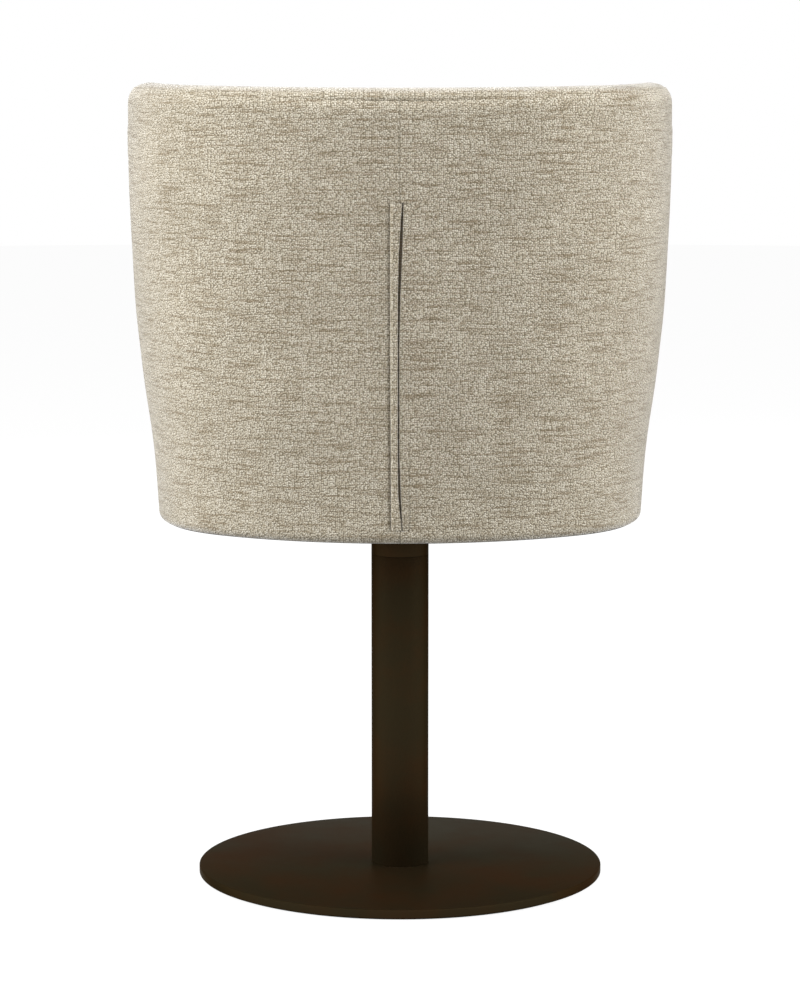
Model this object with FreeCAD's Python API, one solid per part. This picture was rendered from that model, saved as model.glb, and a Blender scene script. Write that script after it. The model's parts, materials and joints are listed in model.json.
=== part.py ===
import FreeCAD, Part
import math
import os

# Swivel dining chair: a padded wrap-round back and seat on a steel post and disc.
# Millimetres. The origin is on the floor under the post, +Z is up and the sitter faces -Y.

# Clearances
fit_gap = 0.05
running_gap = 0.06
layer_gap = 0.3
bolt_gap = 0.5

# Disc and post
pad_thickness = 2.0
pad_margin = 6.0
disc_radius = 208.0
disc_thickness = 9.0
disc_edge_bevel = 1.0
post_radius = 29.4
post_wall = 2.5
post_top = 334.0
foot_thickness = 16.0
base_screw_count = 3
base_screw_circle = 17.0
base_screw_radius = 4.0
base_screw_head_radius = 7.8
base_screw_length = 22.0

# Bearing
collar_height = 17.0
collar_chamfer = 0.8
spigot_length = 22.0
sleeve_length = 140.0
sleeve_radius = 20.0
spindle_radius = 12.5
bush_wall = 3.0
bush_length = 30.0
bush_flange_radius = 19.0
bush_flange_thickness = 2.0
roller_radius = 1.5
roller_length = 8.0
roller_count = 10
roller_circle = 22.0
roller_gap = 0.1
race_thickness = 3.0
race_width = 12.0
cage_thickness = 1.6
cage_margin = 0.6
hub_radius = 27.0
hub_neck_radius = 20.0
hub_flange = 6.0
washer_thickness = 2.5
clip_thickness = 1.5
clip_width = 3.6
clip_opening = 7.0
clip_groove = 1.0
spindle_tip = 5.0

# Seat frame
seat_bottom = 380.5
fabric_margin = 2.7
margin_width = 34.0
board_thickness = 18.0
ring_height = 34.0
ring_width = 24.0
plate_size = 190.0
plate_thickness = 4.0
plate_corner = 18.0
plate_turn = 8.0
plate_bolt_spacing = 150.0
gusset_length = 62.0
gusset_height = 9.0
gusset_thickness = 5.0
bolt_radius = 4.0
bolt_head_across = 13.0
bolt_head_height = 5.3
bolt_washer_radius = 8.0
bolt_washer_thickness = 1.6
tee_flange_radius = 11.0
tee_flange_thickness = 1.5
tee_barrel_radius = 5.0
tee_barrel_length = 12.0
block_leg = 80.0
block_height = 30.0
wood_screw_radius = 2.2
wood_screw_head_radius = 4.5
wood_screw_head_height = 3.0
screw_recess = 0.6
board_screw_length = 40.0
board_screw_share = 0.81
board_screw_front = 90.0
shell_screw_length = 30.0
shell_screw_shares = (-0.78, 0.0, 0.78)
strap_width = 48.0
strap_thickness = 1.5
straps_across = 5
straps_along = 4
strap_pitch_across = 82.0
strap_pitch_along = 82.0
strap_from_front = 59.0
strap_inset = 4.0
dust_cloth = 1.0
dust_inset = 14.0
dust_opening_gap = 6.0

# Seat outline
seat_side = 248.0
seat_front = 285.0
front_arc_radius = 900.0
front_corner_radius = 85.0
band_height = 55.0
band_thickness = 10.0
band_round = 5.0

# Padded back
back_half_width = 247.0
back_corner_radius = 150.0
back_side_run = 67.0
top_half_width = 279.5
flare_round = 800.0
chair_height = 818.0
flare_drop = 61.0
rim_round = 19.0
rim_seam = 13.0
hem_round = 9.0
cover_thickness = 10.0
ply_thickness = 12.0
ply_rim = 28.0
pad_seat = 30.0
pad_middle = 35.0
pad_top = 21.0
wing_front = 105.0
wing_foot = 470.0
wing_top_back = 62.0
wing_corner_round = 45.0
wing_sweep_round = 190.0

# Cushion
cushion_edge_height = 52.0
cushion_crown = 16.0
cushion_draw = 5.0
cushion_waist = 2.0
cushion_round = 7.0
cushion_shoulder = 62.0
cushion_wide_levels = (0.18, 0.82)
cushion_crown_steps = ((0.55, 0.35), (0.88, 0.7))

# Zip and its placket
zip_lift = 13.5
zip_drop = 108.0
placket_slit = 1.5
placket_half_width = 9.0
lip_thickness = 1.8
tape_depth = 6.5
tape_thickness = 0.7
tooth_pitch = 6.0
tooth_length = 2.6
tooth_root = 3.2
tooth_reach = 2.4
tooth_height = 2.8
slider_length = 10.0
slider_plate = 1.1
slider_gap = 0.5
slider_bridge = 1.5
slider_stop = 4.0

# Beyond a face, so that a cut runs past it
over = 5.0

# Levels worked out from the sizes above
disc_top = pad_thickness + disc_thickness
post_inner = post_radius - post_wall
collar_top = post_top + collar_height
sleeve_bottom = collar_top - sleeve_length
bush_outer = spindle_radius + running_gap + bush_wall
lower_race_top = collar_top + race_thickness
roller_level = lower_race_top + roller_gap + roller_radius
upper_race_bottom = roller_level + roller_radius + roller_gap
hub_bottom = upper_race_bottom + race_thickness
board_bottom = seat_bottom + fabric_margin + layer_gap
plate_bottom = board_bottom - plate_thickness
board_top = board_bottom + board_thickness
ring_top = board_top + ring_height
ply_depth = cover_thickness + layer_gap
ply_inner_depth = ply_depth + ply_thickness
frame_depth = ply_inner_depth + layer_gap
band_depth = band_thickness + layer_gap
band_top = seat_bottom + band_height
strap_level = ring_top
cushion_bottom = strap_level + 2.0 * strap_thickness + layer_gap
race_inner = roller_circle - race_width / 2.0
race_outer = roller_circle + race_width / 2.0
washer_bottom = sleeve_bottom - bush_flange_thickness - roller_gap - washer_thickness
clip_bottom = washer_bottom - clip_thickness - fit_gap
spindle_bottom = clip_bottom - spindle_tip
channel_half_width = placket_half_width + layer_gap
zip_bottom = seat_bottom + zip_lift
zip_top = chair_height - zip_drop
slider_bottom = zip_bottom + layer_gap
teeth_bottom = slider_bottom + 3.0 * slider_bridge
teeth_top = zip_top - 2.0 * slider_stop
flare_end = chair_height - flare_drop
zip_slope = math.atan((top_half_width - back_half_width) / (flare_end - seat_bottom))
bend_high = flare_end + flare_round * math.tan(zip_slope / 2.0)
bend_low = bend_high - flare_round * math.sin(zip_slope)
corner_centre_x = back_half_width - back_corner_radius
rear_reach = back_half_width - back_side_run
rear_radius = (corner_centre_x ** 2 + rear_reach ** 2 - back_corner_radius ** 2) / (
    2.0 * (rear_reach - back_corner_radius)
)
rear_centre_y = back_half_width - rear_radius
rear_turn = math.degrees(math.atan2(corner_centre_x, back_side_run - rear_centre_y))
corner_turn = 90.0 - rear_turn

UP = FreeCAD.Vector(0, 0, 1)
far = 2.0 * chair_height
slant = math.sqrt(0.5)


def point(x, y, z):
    return FreeCAD.Vector(x, y, z)


def rod(radius, height, z, x=0.0, y=0.0):
    return Part.makeCylinder(radius, height, point(x, y, z), UP)


def tube(outer, inner, height, z):
    return rod(outer, height, z).cut(rod(inner, height, z))


def cone(low_radius, high_radius, height, z, x=0.0, y=0.0):
    return Part.makeCone(low_radius, high_radius, height, point(x, y, z), UP)


def box(low_x, high_x, low_y, high_y, low_z, high_z):
    corner = point(low_x, low_y, low_z)
    return Part.makeBox(high_x - low_x, high_y - low_y, high_z - low_z, corner)


def fuse_all(shapes):
    return shapes[0].multiFuse(shapes[1:]).removeSplitter()


def turned(shape, degrees):
    copy = shape.copy()
    copy.rotate(point(0, 0, 0), UP, degrees)
    return copy


def moved(shape, x, y, z=0.0):
    copy = shape.copy()
    copy.translate(point(x, y, z))
    return copy


def around(shape, count, start=0.0):
    return [turned(shape, start + index * 360.0 / count) for index in range(count)]


def at_corners(shape, spacing):
    half = spacing / 2.0
    return [moved(shape, x, y) for x in (-half, half) for y in (-half, half)]


def turned_behind(shape, degrees):
    """A copy turned round the centre of the back's rear arc."""
    copy = shape.copy()
    copy.rotate(point(0, rear_centre_y, 0), UP, degrees)
    return copy


def mirrored(shape):
    return shape.mirror(point(0, 0, 0), point(1, 0, 0))


def upright_edges(shape):
    """The edges that run straight up."""
    found = []
    for edge in shape.Edges:
        ends = [vertex.Point for vertex in edge.Vertexes]
        if len(ends) == 2 and abs(ends[0].x - ends[1].x) + abs(ends[0].y - ends[1].y) < fit_gap:
            found.append(edge)
    return found


# Seen from above, the back is a U: a wide arc behind, two corner arcs and straight sides


def half_width(z):
    """The outer surface: a straight flare that bends to upright near the top."""
    if z >= bend_high:
        return top_half_width
    if z > bend_low:
        return top_half_width - flare_round + math.sqrt(flare_round ** 2 - (bend_high - z) ** 2)
    return back_half_width + (z - seat_bottom) * math.tan(zip_slope)


def even_depth(depth, low, high):
    """A wall face that keeps one depth under the back's outer surface."""

    def spot(z):
        return point(half_width(z) - depth, 0, z)

    edges = [Part.makeLine(spot(low), spot(min(high, bend_low)))]
    if high > bend_low:
        end = min(high, bend_high)
        edges.append(Part.Arc(spot(bend_low), spot((bend_low + end) / 2.0), spot(end)).toShape())
    if high > bend_high:
        edges.append(Part.makeLine(spot(bend_high), spot(high)))
    return edges


def pad_face():
    """The inside back's face, seen from the side: one arc, bowed forward at the small of the back."""
    middle = (cushion_bottom + chair_height) / 2.0
    spots = []
    for z, thickness in ((seat_bottom, pad_seat), (middle, pad_middle), (chair_height, pad_top)):
        spots.append(point(half_width(z) - frame_depth - thickness, 0, z))
    return Part.Arc(*spots).toShape()


def pad_reach(z):
    """How far that face is from the axis at a level."""
    level = Part.makeLine(point(0, 0, z), point(far, 0, z))
    return pad_face().distToShape(level)[1][0][0].x


def u_wall(outer, inner):
    """A wall between an outer and an inner face, bent round the back and straight at the sides."""
    ends = []
    for place in (0, -1):
        outer_end = outer[place].Vertexes[place].Point
        inner_end = inner[place].Vertexes[place].Point
        ends.append(Part.makeLine(outer_end, inner_end))
    section = Part.Face(Part.Wire(Part.__sortEdges__(outer + inner + ends)))
    rear = moved(section, rear_radius - back_half_width, rear_centre_y)
    rear = turned_behind(rear, corner_turn).revolve(point(0, rear_centre_y, 0), UP, 2.0 * rear_turn)
    section = moved(section, 0, back_side_run)
    corner = section.revolve(point(corner_centre_x, back_side_run, 0), UP, corner_turn)
    side = section.extrude(point(0, -seat_front - back_side_run, 0))
    return fuse_all([rear, corner, mirrored(corner), side, mirrored(side)])


def even_wall(low, high, outer_depth, inner_depth):
    return u_wall(even_depth(outer_depth, low, high), even_depth(inner_depth, low, high))


def rounded_corner(before, corner, after, radius):
    """The start, middle and end of the arc that rounds a corner."""
    back = before.sub(corner).normalize()
    ahead = after.sub(corner).normalize()
    half = back.getAngle(ahead) / 2.0
    inward = back.add(ahead).normalize()
    centre = corner.add(inward * (radius / math.sin(half)))
    reach = radius / math.tan(half)
    return corner.add(back * reach), centre.sub(inward * radius), corner.add(ahead * reach)


def wing_outline(inset):
    """The back seen from the side: its top line and the sloping front edge of its wings."""
    foot = point(0, -wing_front, -far)
    knee = point(0, -wing_front, wing_foot)
    crest = point(0, wing_top_back, chair_height)
    rear = point(0, far, chair_height)
    low_rear = point(0, far, -far)
    sweep = rounded_corner(foot, knee, crest, wing_sweep_round)
    corner = rounded_corner(knee, crest, rear, wing_corner_round)
    edges = [
        Part.makeLine(foot, sweep[0]),
        Part.Arc(*sweep).toShape(),
        Part.makeLine(sweep[2], corner[0]),
        Part.Arc(*corner).toShape(),
        Part.makeLine(corner[2], rear),
        Part.makeLine(rear, low_rear),
        Part.makeLine(low_rear, foot),
    ]
    outline = Part.Wire(edges)
    return outline.makeOffset2D(-inset) if inset else outline


def wing_prism(inset):
    face = Part.Face(wing_outline(inset))
    face.translate(point(-far, 0, 0))
    return face.extrude(point(2.0 * far, 0, 0))


def rim_edges(shape):
    """The long edges along the top line and down both wings."""
    outline = wing_outline(0.0)
    found = []
    for edge in shape.Edges:
        low, middle, high = edge.discretize(3)
        level = abs(low.y - high.y) + abs(low.z - high.z) < fit_gap
        crosses_wall = level and abs(low.x) > cover_thickness
        lies_at_hem = max(low.z, high.z) < seat_bottom + fit_gap
        if crosses_wall or lies_at_hem:
            continue
        flat = [Part.Vertex(0, spot.y, spot.z) for spot in (low, middle, high)]
        if all(outline.distToShape(spot)[0] < fit_gap for spot in flat):
            found.append(edge)
    return found


def hem_cutter():
    """What comes off the outer surface to turn the lower edge under."""
    high = seat_bottom + hem_round
    outer = even_depth(-cover_thickness, seat_bottom, high)
    start = point(half_width(seat_bottom) - hem_round, 0, seat_bottom)
    middle = point(half_width(high) - hem_round * (1.0 - slant), 0, high - hem_round * slant)
    end = point(half_width(high), 0, high)
    return u_wall(outer, [Part.Arc(start, middle, end).toShape()])


def padded_back():
    """The whole upholstered back, before it is divided into its layers."""
    outer = even_depth(0.0, seat_bottom, chair_height)
    wall = u_wall(outer, [pad_face()])
    back = wall.common(wing_prism(0.0)).removeSplitter()
    return back.makeFillet(rim_round, rim_edges(back)).cut(hem_cutter())


def layer(outer_depth, inner_depth, rim):
    """The space of one layer of the back, open at the hem."""
    wall = even_wall(seat_bottom - over, chair_height + over, outer_depth, inner_depth)
    return wall.common(wing_prism(rim))


# The seat seen from above: round behind, wider in front of the wings


def on_rear_arc(depth, degrees, z=0.0):
    """A point at a depth inside the back's lower outline, at an angle from the middle of its rear arc."""
    turn = math.radians(degrees)
    reach = rear_radius - depth
    return point(reach * math.sin(turn), rear_centre_y + reach * math.cos(turn), z)


def seat_outline(z, rear_depth, front_depth, inset=0.0):
    depth = rear_depth + inset
    radius = back_half_width - depth
    rear_end = on_rear_arc(depth, rear_turn, z)
    bend = back_corner_radius - depth
    half_turn = math.radians(corner_turn) / 2.0
    out = point(math.cos(half_turn), math.sin(half_turn), 0)
    bend_middle = point(corner_centre_x, back_side_run, z).add(out * bend)
    side = seat_side - front_depth - inset
    corner = front_corner_radius - front_depth - inset
    bow = front_arc_radius - front_depth - inset
    step = -wing_front - layer_gap - inset
    bow_centre = front_arc_radius - seat_front
    corner_x = side - corner
    corner_y = bow_centre - math.sqrt((bow - corner) ** 2 - corner_x ** 2)
    away = point(corner_x, corner_y - bow_centre, 0).normalize()
    corner_end = point(0, bow_centre, z).add(away * bow)
    bisector = away.add(point(1, 0, 0)).normalize()
    corner_middle = point(corner_x, corner_y, z).add(bisector * corner)

    def flip(spot, hand):
        return point(hand * spot.x, spot.y, z)

    edges = [Part.Arc(rear_end, point(0, radius, z), flip(rear_end, -1)).toShape()]
    for hand in (1, -1):
        side_end = point(hand * radius, back_side_run, z)
        edges.append(Part.Arc(flip(rear_end, hand), flip(bend_middle, hand), side_end).toShape())
        edges.append(Part.makeLine(side_end, point(hand * radius, step, z)))
        edges.append(Part.makeLine(point(hand * radius, step, z), point(hand * side, step, z)))
        edges.append(Part.makeLine(point(hand * side, step, z), point(hand * side, corner_y, z)))
        start = point(hand * side, corner_y, z)
        edges.append(Part.Arc(start, flip(corner_middle, hand), flip(corner_end, hand)).toShape())
    nose = point(0, bow_centre - bow, z)
    edges.append(Part.Arc(corner_end, nose, flip(corner_end, -1)).toShape())
    return Part.Wire(Part.__sortEdges__(edges))


def seat_prism(low, high, rear_depth, front_depth, inset=0.0):
    face = Part.Face(seat_outline(low, rear_depth, front_depth, inset))
    return face.extrude(point(0, 0, high - low))


def frame_prism(low, high, inset=0.0):
    return seat_prism(low, high, frame_depth, band_depth, inset)


# Base: disc and post


def make_floor_pad():
    return rod(disc_radius - pad_margin, pad_thickness, 0.0)


def base_screw():
    sink = base_screw_head_radius - base_screw_radius
    head = cone(base_screw_head_radius, base_screw_radius, sink, pad_thickness, base_screw_circle)
    shank = rod(base_screw_radius, base_screw_length, pad_thickness, base_screw_circle)
    return head.fuse(shank).removeSplitter()


def base_screw_hole():
    sink = base_screw_head_radius - base_screw_radius
    bore = base_screw_radius + fit_gap
    head = cone(base_screw_head_radius + fit_gap, bore, sink, pad_thickness, base_screw_circle)
    shank = rod(bore, disc_thickness + foot_thickness, pad_thickness, base_screw_circle)
    return head.fuse(shank)


def make_base_screws():
    return Part.makeCompound(around(base_screw(), base_screw_count))


def make_base_disc():
    disc = rod(disc_radius, disc_thickness, pad_thickness)
    disc = disc.makeChamfer(disc_edge_bevel, [edge for edge in disc.Edges if edge.Closed])
    return disc.cut(Part.makeCompound(around(base_screw_hole(), base_screw_count)))


def make_column_foot():
    foot = rod(post_inner - fit_gap, foot_thickness, disc_top)
    return foot.cut(Part.makeCompound(around(base_screw_hole(), base_screw_count)))


def make_column_tube():
    return tube(post_radius, post_inner, post_top - disc_top, disc_top)


# Bearing


def make_bearing_sleeve():
    collar = rod(post_radius, collar_height, post_top)
    collar = collar.makeChamfer(collar_chamfer, [edge for edge in collar.Edges if edge.Closed])
    spigot = rod(post_inner - fit_gap, spigot_length + collar_chamfer, post_top - spigot_length)
    sleeve = rod(sleeve_radius, sleeve_length - collar_height, sleeve_bottom)
    bore = rod(bush_outer + fit_gap, sleeve_length, sleeve_bottom)
    return fuse_all([collar, spigot, sleeve]).cut(bore)


def make_upper_bush():
    return tube(bush_outer, spindle_radius + running_gap, bush_length, collar_top - bush_length)


def make_lower_bush():
    bore = spindle_radius + running_gap
    flange = tube(bush_flange_radius, bore, bush_flange_thickness, sleeve_bottom - bush_flange_thickness)
    return flange.fuse(tube(bush_outer, bore, bush_length, sleeve_bottom)).removeSplitter()


def make_lower_race():
    return tube(race_outer, race_inner, race_thickness, collar_top)


def make_upper_race():
    return tube(race_outer, race_inner, race_thickness, upper_race_bottom)


def bearing_roller(gap):
    start = point(roller_circle - roller_length / 2.0 - gap, 0, roller_level)
    return Part.makeCylinder(roller_radius + gap, roller_length + 2.0 * gap, start, point(1, 0, 0))


def make_bearing_rollers():
    return Part.makeCompound(around(bearing_roller(0.0), roller_count))


def make_roller_cage():
    low = roller_level - cage_thickness / 2.0
    cage = tube(race_outer - cage_margin, race_inner + cage_margin, cage_thickness, low)
    half = roller_radius + roller_gap
    reach = roller_length / 2.0 + roller_gap
    pocket = box(roller_circle - reach, roller_circle + reach, -half, half, low, low + cage_thickness)
    return cage.cut(Part.makeCompound(around(pocket, roller_count)))


def make_spindle():
    flange = rod(hub_radius, hub_flange, hub_bottom)
    neck = rod(hub_neck_radius, plate_bottom - hub_bottom, hub_bottom)
    shaft = rod(spindle_radius, board_bottom - spindle_bottom, spindle_bottom)
    shaft = shaft.makeChamfer(clip_groove, [edge for edge in shaft.Edges if edge.Closed])
    groove_floor = spindle_radius - clip_groove
    groove = tube(spindle_radius + clip_width, groove_floor, clip_thickness + roller_gap, clip_bottom)
    return fuse_all([flange, neck, shaft]).cut(groove)


def make_spindle_washer():
    return tube(bush_flange_radius, spindle_radius + fit_gap, washer_thickness, washer_bottom)


def make_retaining_clip():
    inner = spindle_radius - clip_groove + fit_gap
    clip = tube(inner + clip_width, inner, clip_thickness, clip_bottom)
    half = clip_opening / 2.0
    outer = inner + clip_width
    clip = clip.cut(box(0, 2.0 * outer, -half, half, clip_bottom, clip_bottom + clip_thickness))
    lug = clip_width / 2.0
    lugs = [rod(lug, clip_thickness, clip_bottom, outer, side * (half + lug)) for side in (-1, 1)]
    return fuse_all([clip] + lugs)


# Seat frame


def gusset():
    start = hub_neck_radius
    corners = [
        point(start, 0, plate_bottom),
        point(start + gusset_length, 0, plate_bottom),
        point(start, 0, plate_bottom - gusset_height),
    ]
    face = Part.Face(Part.makePolygon(corners + [corners[0]]))
    face.translate(point(0, -gusset_thickness / 2.0, 0))
    return face.extrude(point(0, gusset_thickness, 0))


def make_swivel_plate():
    half = plate_size / 2.0
    plate = box(-half, half, -half, half, plate_bottom - plate_turn, board_bottom)
    plate = plate.makeFillet(plate_corner, upright_edges(plate))
    inner = half - plate_thickness
    hollow = box(-inner, inner, -inner, inner, plate_bottom - plate_turn, plate_bottom)
    hollow = hollow.makeFillet(plate_corner - plate_thickness, upright_edges(hollow))
    plate = fuse_all([plate.cut(hollow)] + around(gusset(), 4))
    holes = at_corners(rod(bolt_radius + bolt_gap, plate_thickness, plate_bottom), plate_bolt_spacing)
    holes.append(rod(spindle_radius + fit_gap, plate_thickness, plate_bottom))
    holes.append(rod(hub_neck_radius + fit_gap, gusset_height, plate_bottom - gusset_height))
    return plate.cut(Part.makeCompound(holes))


def make_plate_washers():
    low = plate_bottom - bolt_washer_thickness
    washer = tube(bolt_washer_radius, bolt_radius + fit_gap, bolt_washer_thickness, low)
    return Part.makeCompound(at_corners(washer, plate_bolt_spacing))


def make_plate_bolts():
    seat = plate_bottom - bolt_washer_thickness
    corner = bolt_head_across / math.sqrt(3.0)
    turns = [index * math.pi / 3.0 for index in range(7)]
    low = seat - bolt_head_height
    outline = [point(corner * math.cos(turn), corner * math.sin(turn), low) for turn in turns]
    head = Part.Face(Part.makePolygon(outline)).extrude(point(0, 0, bolt_head_height))
    shank = rod(bolt_radius, board_top + tee_flange_thickness - seat, seat)
    return Part.makeCompound(at_corners(head.fuse(shank), plate_bolt_spacing))


def make_tee_nuts():
    bore = bolt_radius + fit_gap
    flange = tube(tee_flange_radius, bore, tee_flange_thickness, board_top)
    barrel = tube(tee_barrel_radius, bore, tee_barrel_length, board_top - tee_barrel_length)
    return Part.makeCompound(at_corners(flange.fuse(barrel).removeSplitter(), plate_bolt_spacing))


def board_screw_spots():
    """Along the middle of the ring: two behind and two in front."""
    behind = on_rear_arc(frame_depth + ring_width / 2.0, board_screw_share * rear_turn)
    front_radius = front_arc_radius - band_depth - ring_width / 2.0
    front_y = front_arc_radius - seat_front - math.sqrt(front_radius ** 2 - board_screw_front ** 2)
    spots = []
    for hand in (-1, 1):
        spots.append((hand * behind.x, behind.y))
        spots.append((hand * board_screw_front, front_y))
    return spots


def board_screw(gap):
    radius = wood_screw_radius + gap
    head = rod(wood_screw_head_radius + gap, wood_screw_head_height + gap, board_bottom)
    return head.fuse(rod(radius, board_screw_length + gap, board_bottom)).removeSplitter()


def at_spots(shape):
    return Part.makeCompound([moved(shape, x, y) for x, y in board_screw_spots()])


def make_board_screws():
    return at_spots(board_screw(0.0))


def make_seat_board():
    holes = at_corners(rod(tee_barrel_radius + fit_gap, board_thickness, board_bottom), plate_bolt_spacing)
    board = frame_prism(board_bottom, board_top).cut(Part.makeCompound(holes))
    return board.cut(at_spots(board_screw(fit_gap)))


def shell_screw(gap):
    """One screw through the bent shell into the ring, at the middle of the back."""
    z = board_top + ring_height / 2.0
    start = point(0, half_width(z) - ply_depth - screw_recess, z)
    inwards = point(0, -1, 0)
    head = Part.makeCylinder(wood_screw_head_radius + gap, wood_screw_head_height, start, inwards)
    shank = Part.makeCylinder(wood_screw_radius + gap, shell_screw_length + gap, start, inwards)
    return head.fuse(shank).removeSplitter()


def at_shell_angles(shape):
    return Part.makeCompound([turned_behind(shape, share * rear_turn) for share in shell_screw_shares])


def make_shell_screws():
    return at_shell_angles(shell_screw(0.0))


def shell_screw_holes():
    z = board_top + ring_height / 2.0
    start = point(0, half_width(z) + screw_recess, z)
    reach = ply_depth + 2.0 * screw_recess
    mouth = Part.makeCylinder(wood_screw_head_radius + fit_gap, reach, start, point(0, -1, 0))
    return at_shell_angles(shell_screw(fit_gap).fuse(mouth))


def make_seat_ring():
    ring = frame_prism(board_top, ring_top).cut(frame_prism(board_top, ring_top, ring_width))
    nut_room = at_corners(rod(tee_flange_radius + bolt_gap, ring_height, board_top), plate_bolt_spacing)
    ring = ring.cut(Part.makeCompound(nut_room))
    return ring.cut(at_spots(board_screw(fit_gap))).cut(shell_screw_holes())


def make_corner_blocks():
    """Two glued blocks that fill the ring's rounded front corners."""
    inside = frame_prism(board_top, board_top + block_height, ring_width + fit_gap)
    corner_x = seat_side - band_depth - ring_width
    corner_y = band_depth + ring_width - seat_front
    blocks = []
    for hand in (-1, 1):
        corners = [
            point(hand * corner_x, corner_y, board_top),
            point(hand * (corner_x - block_leg), corner_y, board_top),
            point(hand * corner_x, corner_y + block_leg, board_top),
        ]
        face = Part.Face(Part.makePolygon(corners + [corners[0]]))
        blocks += inside.common(face.extrude(point(0, 0, block_height))).Solids
    return Part.makeCompound(blocks)


def straps(spots, across):
    reach = far / 2.0
    half = strap_width / 2.0
    low = strap_level if across else strap_level + strap_thickness
    field = frame_prism(low, low + strap_thickness, strap_inset)
    made = []
    for spot in spots:
        if across:
            strip = box(-reach, reach, spot - half, spot + half, low, low + strap_thickness)
        else:
            strip = box(spot - half, spot + half, -reach, reach, low, low + strap_thickness)
        made += field.common(strip).Solids
    return Part.makeCompound(made)


def make_webbing_across():
    first = strap_from_front - seat_front
    return straps([first + index * strap_pitch_across for index in range(straps_across)], True)


def make_webbing_along():
    middle = (straps_along - 1) / 2.0
    return straps([(index - middle) * strap_pitch_along for index in range(straps_along)], False)


# Seat upholstery


def make_seat_band():
    outer = seat_prism(seat_bottom, band_top, frame_depth, 0.0)
    front = box(-far, far, -far, -wing_front - layer_gap, 0, far)
    outer = outer.common(front).removeSplitter()
    rims = []
    for edge in outer.Edges:
        spots = edge.discretize(3)
        level = abs(spots[0].z - spots[2].z) < fit_gap
        at_wing = all(abs(spot.y + wing_front + layer_gap) < fit_gap for spot in spots)
        if level and not at_wing:
            rims.append(edge)
    outer = outer.makeFillet(band_round, rims)
    hollow = seat_prism(seat_bottom + fabric_margin, band_top + over, frame_depth, band_thickness)
    opening = seat_prism(seat_bottom - over, band_top + over, margin_width, margin_width)
    return outer.cut(hollow).cut(opening)


def make_seat_cushion():
    rear_depth = back_half_width - pad_reach(cushion_bottom) + layer_gap
    top = cushion_edge_height
    low_share, high_share = cushion_wide_levels
    steps = [
        (0.0, cushion_draw),
        (low_share * top, 0.0),
        (top / 2.0, cushion_waist),
        (high_share * top, 0.0),
        (top, cushion_round),
    ]
    for rise, run in cushion_crown_steps:
        steps.append((top + rise * cushion_crown, run * cushion_shoulder))
    steps.append((top + cushion_crown, cushion_shoulder))
    wires = [seat_outline(cushion_bottom + up, rear_depth, 0.0, inset) for up, inset in steps]
    return Part.makeLoft(wires, True, True)


def make_dust_cover():
    low = seat_bottom - fit_gap - dust_cloth
    cloth = seat_prism(low, low + dust_cloth, dust_inset, dust_inset)
    half = plate_size / 2.0 + dust_opening_gap
    return cloth.cut(box(-half, half, -half, half, low, low + dust_cloth))


# Back


def make_back_shell():
    shell = even_wall(board_bottom, chair_height, ply_depth, ply_inner_depth)
    return shell.common(wing_prism(ply_rim + layer_gap)).cut(shell_screw_holes())


def make_inside_back_pad(back):
    pad = back.cut(layer(-cover_thickness, ply_depth, rim_seam))
    pad = pad.cut(layer(cover_thickness, frame_depth, ply_rim))
    return pad.cut(even_wall(seat_bottom - over, cushion_bottom, frame_depth, back_half_width / 2.0))


def back_strip(low_x, high_x, outer_depth, inner_depth, low_z, high_z):
    """A straight strip up the middle of the back, at a depth under its surface."""
    length = (high_z - low_z) / math.cos(zip_slope)
    strip = box(low_x, high_x, -inner_depth, -outer_depth, 0, length)
    strip.rotate(point(0, 0, 0), point(1, 0, 0), -math.degrees(zip_slope))
    return moved(strip, 0, half_width(low_z), low_z)


def make_outside_cover(back):
    cover = back.common(layer(-cover_thickness, cover_thickness, rim_seam + layer_gap))
    margin = even_wall(seat_bottom, seat_bottom + fabric_margin, cover_thickness / 2.0, margin_width)
    margin = margin.common(wing_prism(ply_rim + layer_gap)).cut(hem_cutter())
    cover = fuse_all([cover, margin])
    half = channel_half_width
    channel = back_strip(-half, half, -cover_thickness, cover_thickness + over, zip_bottom, zip_top)
    return cover.cut(channel).cut(box(-far, layer_gap / 2.0, -far, far, 0, far))


def make_placket():
    skin = even_wall(seat_bottom, chair_height, 0.0, lip_thickness)
    low, high = zip_bottom + layer_gap, zip_top - layer_gap
    return skin.common(back_strip(placket_slit, placket_half_width, -over, cover_thickness, low, high))


def make_zip_tape():
    inner = tape_depth + tape_thickness
    low, high = zip_bottom + layer_gap, zip_top - layer_gap
    return back_strip(tooth_root, placket_half_width, tape_depth, inner, low, high)


def tooth_outer_depth():
    return tape_depth + tape_thickness / 2.0 - tooth_height / 2.0


def make_zip_teeth(first):
    outer = tooth_outer_depth()
    teeth = []
    z = teeth_bottom + first
    rise = tooth_pitch * math.cos(zip_slope)
    while z + tooth_length < teeth_top:
        teeth.append(back_strip(-tooth_reach, tooth_root, outer, outer + tooth_height, z, z + tooth_length))
        z += rise
    return Part.makeCompound(teeth)


def make_zip_stop():
    outer = tooth_outer_depth()
    high = teeth_top + slider_stop
    return back_strip(-tooth_root, tooth_root, outer, outer + tooth_height, teeth_top, high)


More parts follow.
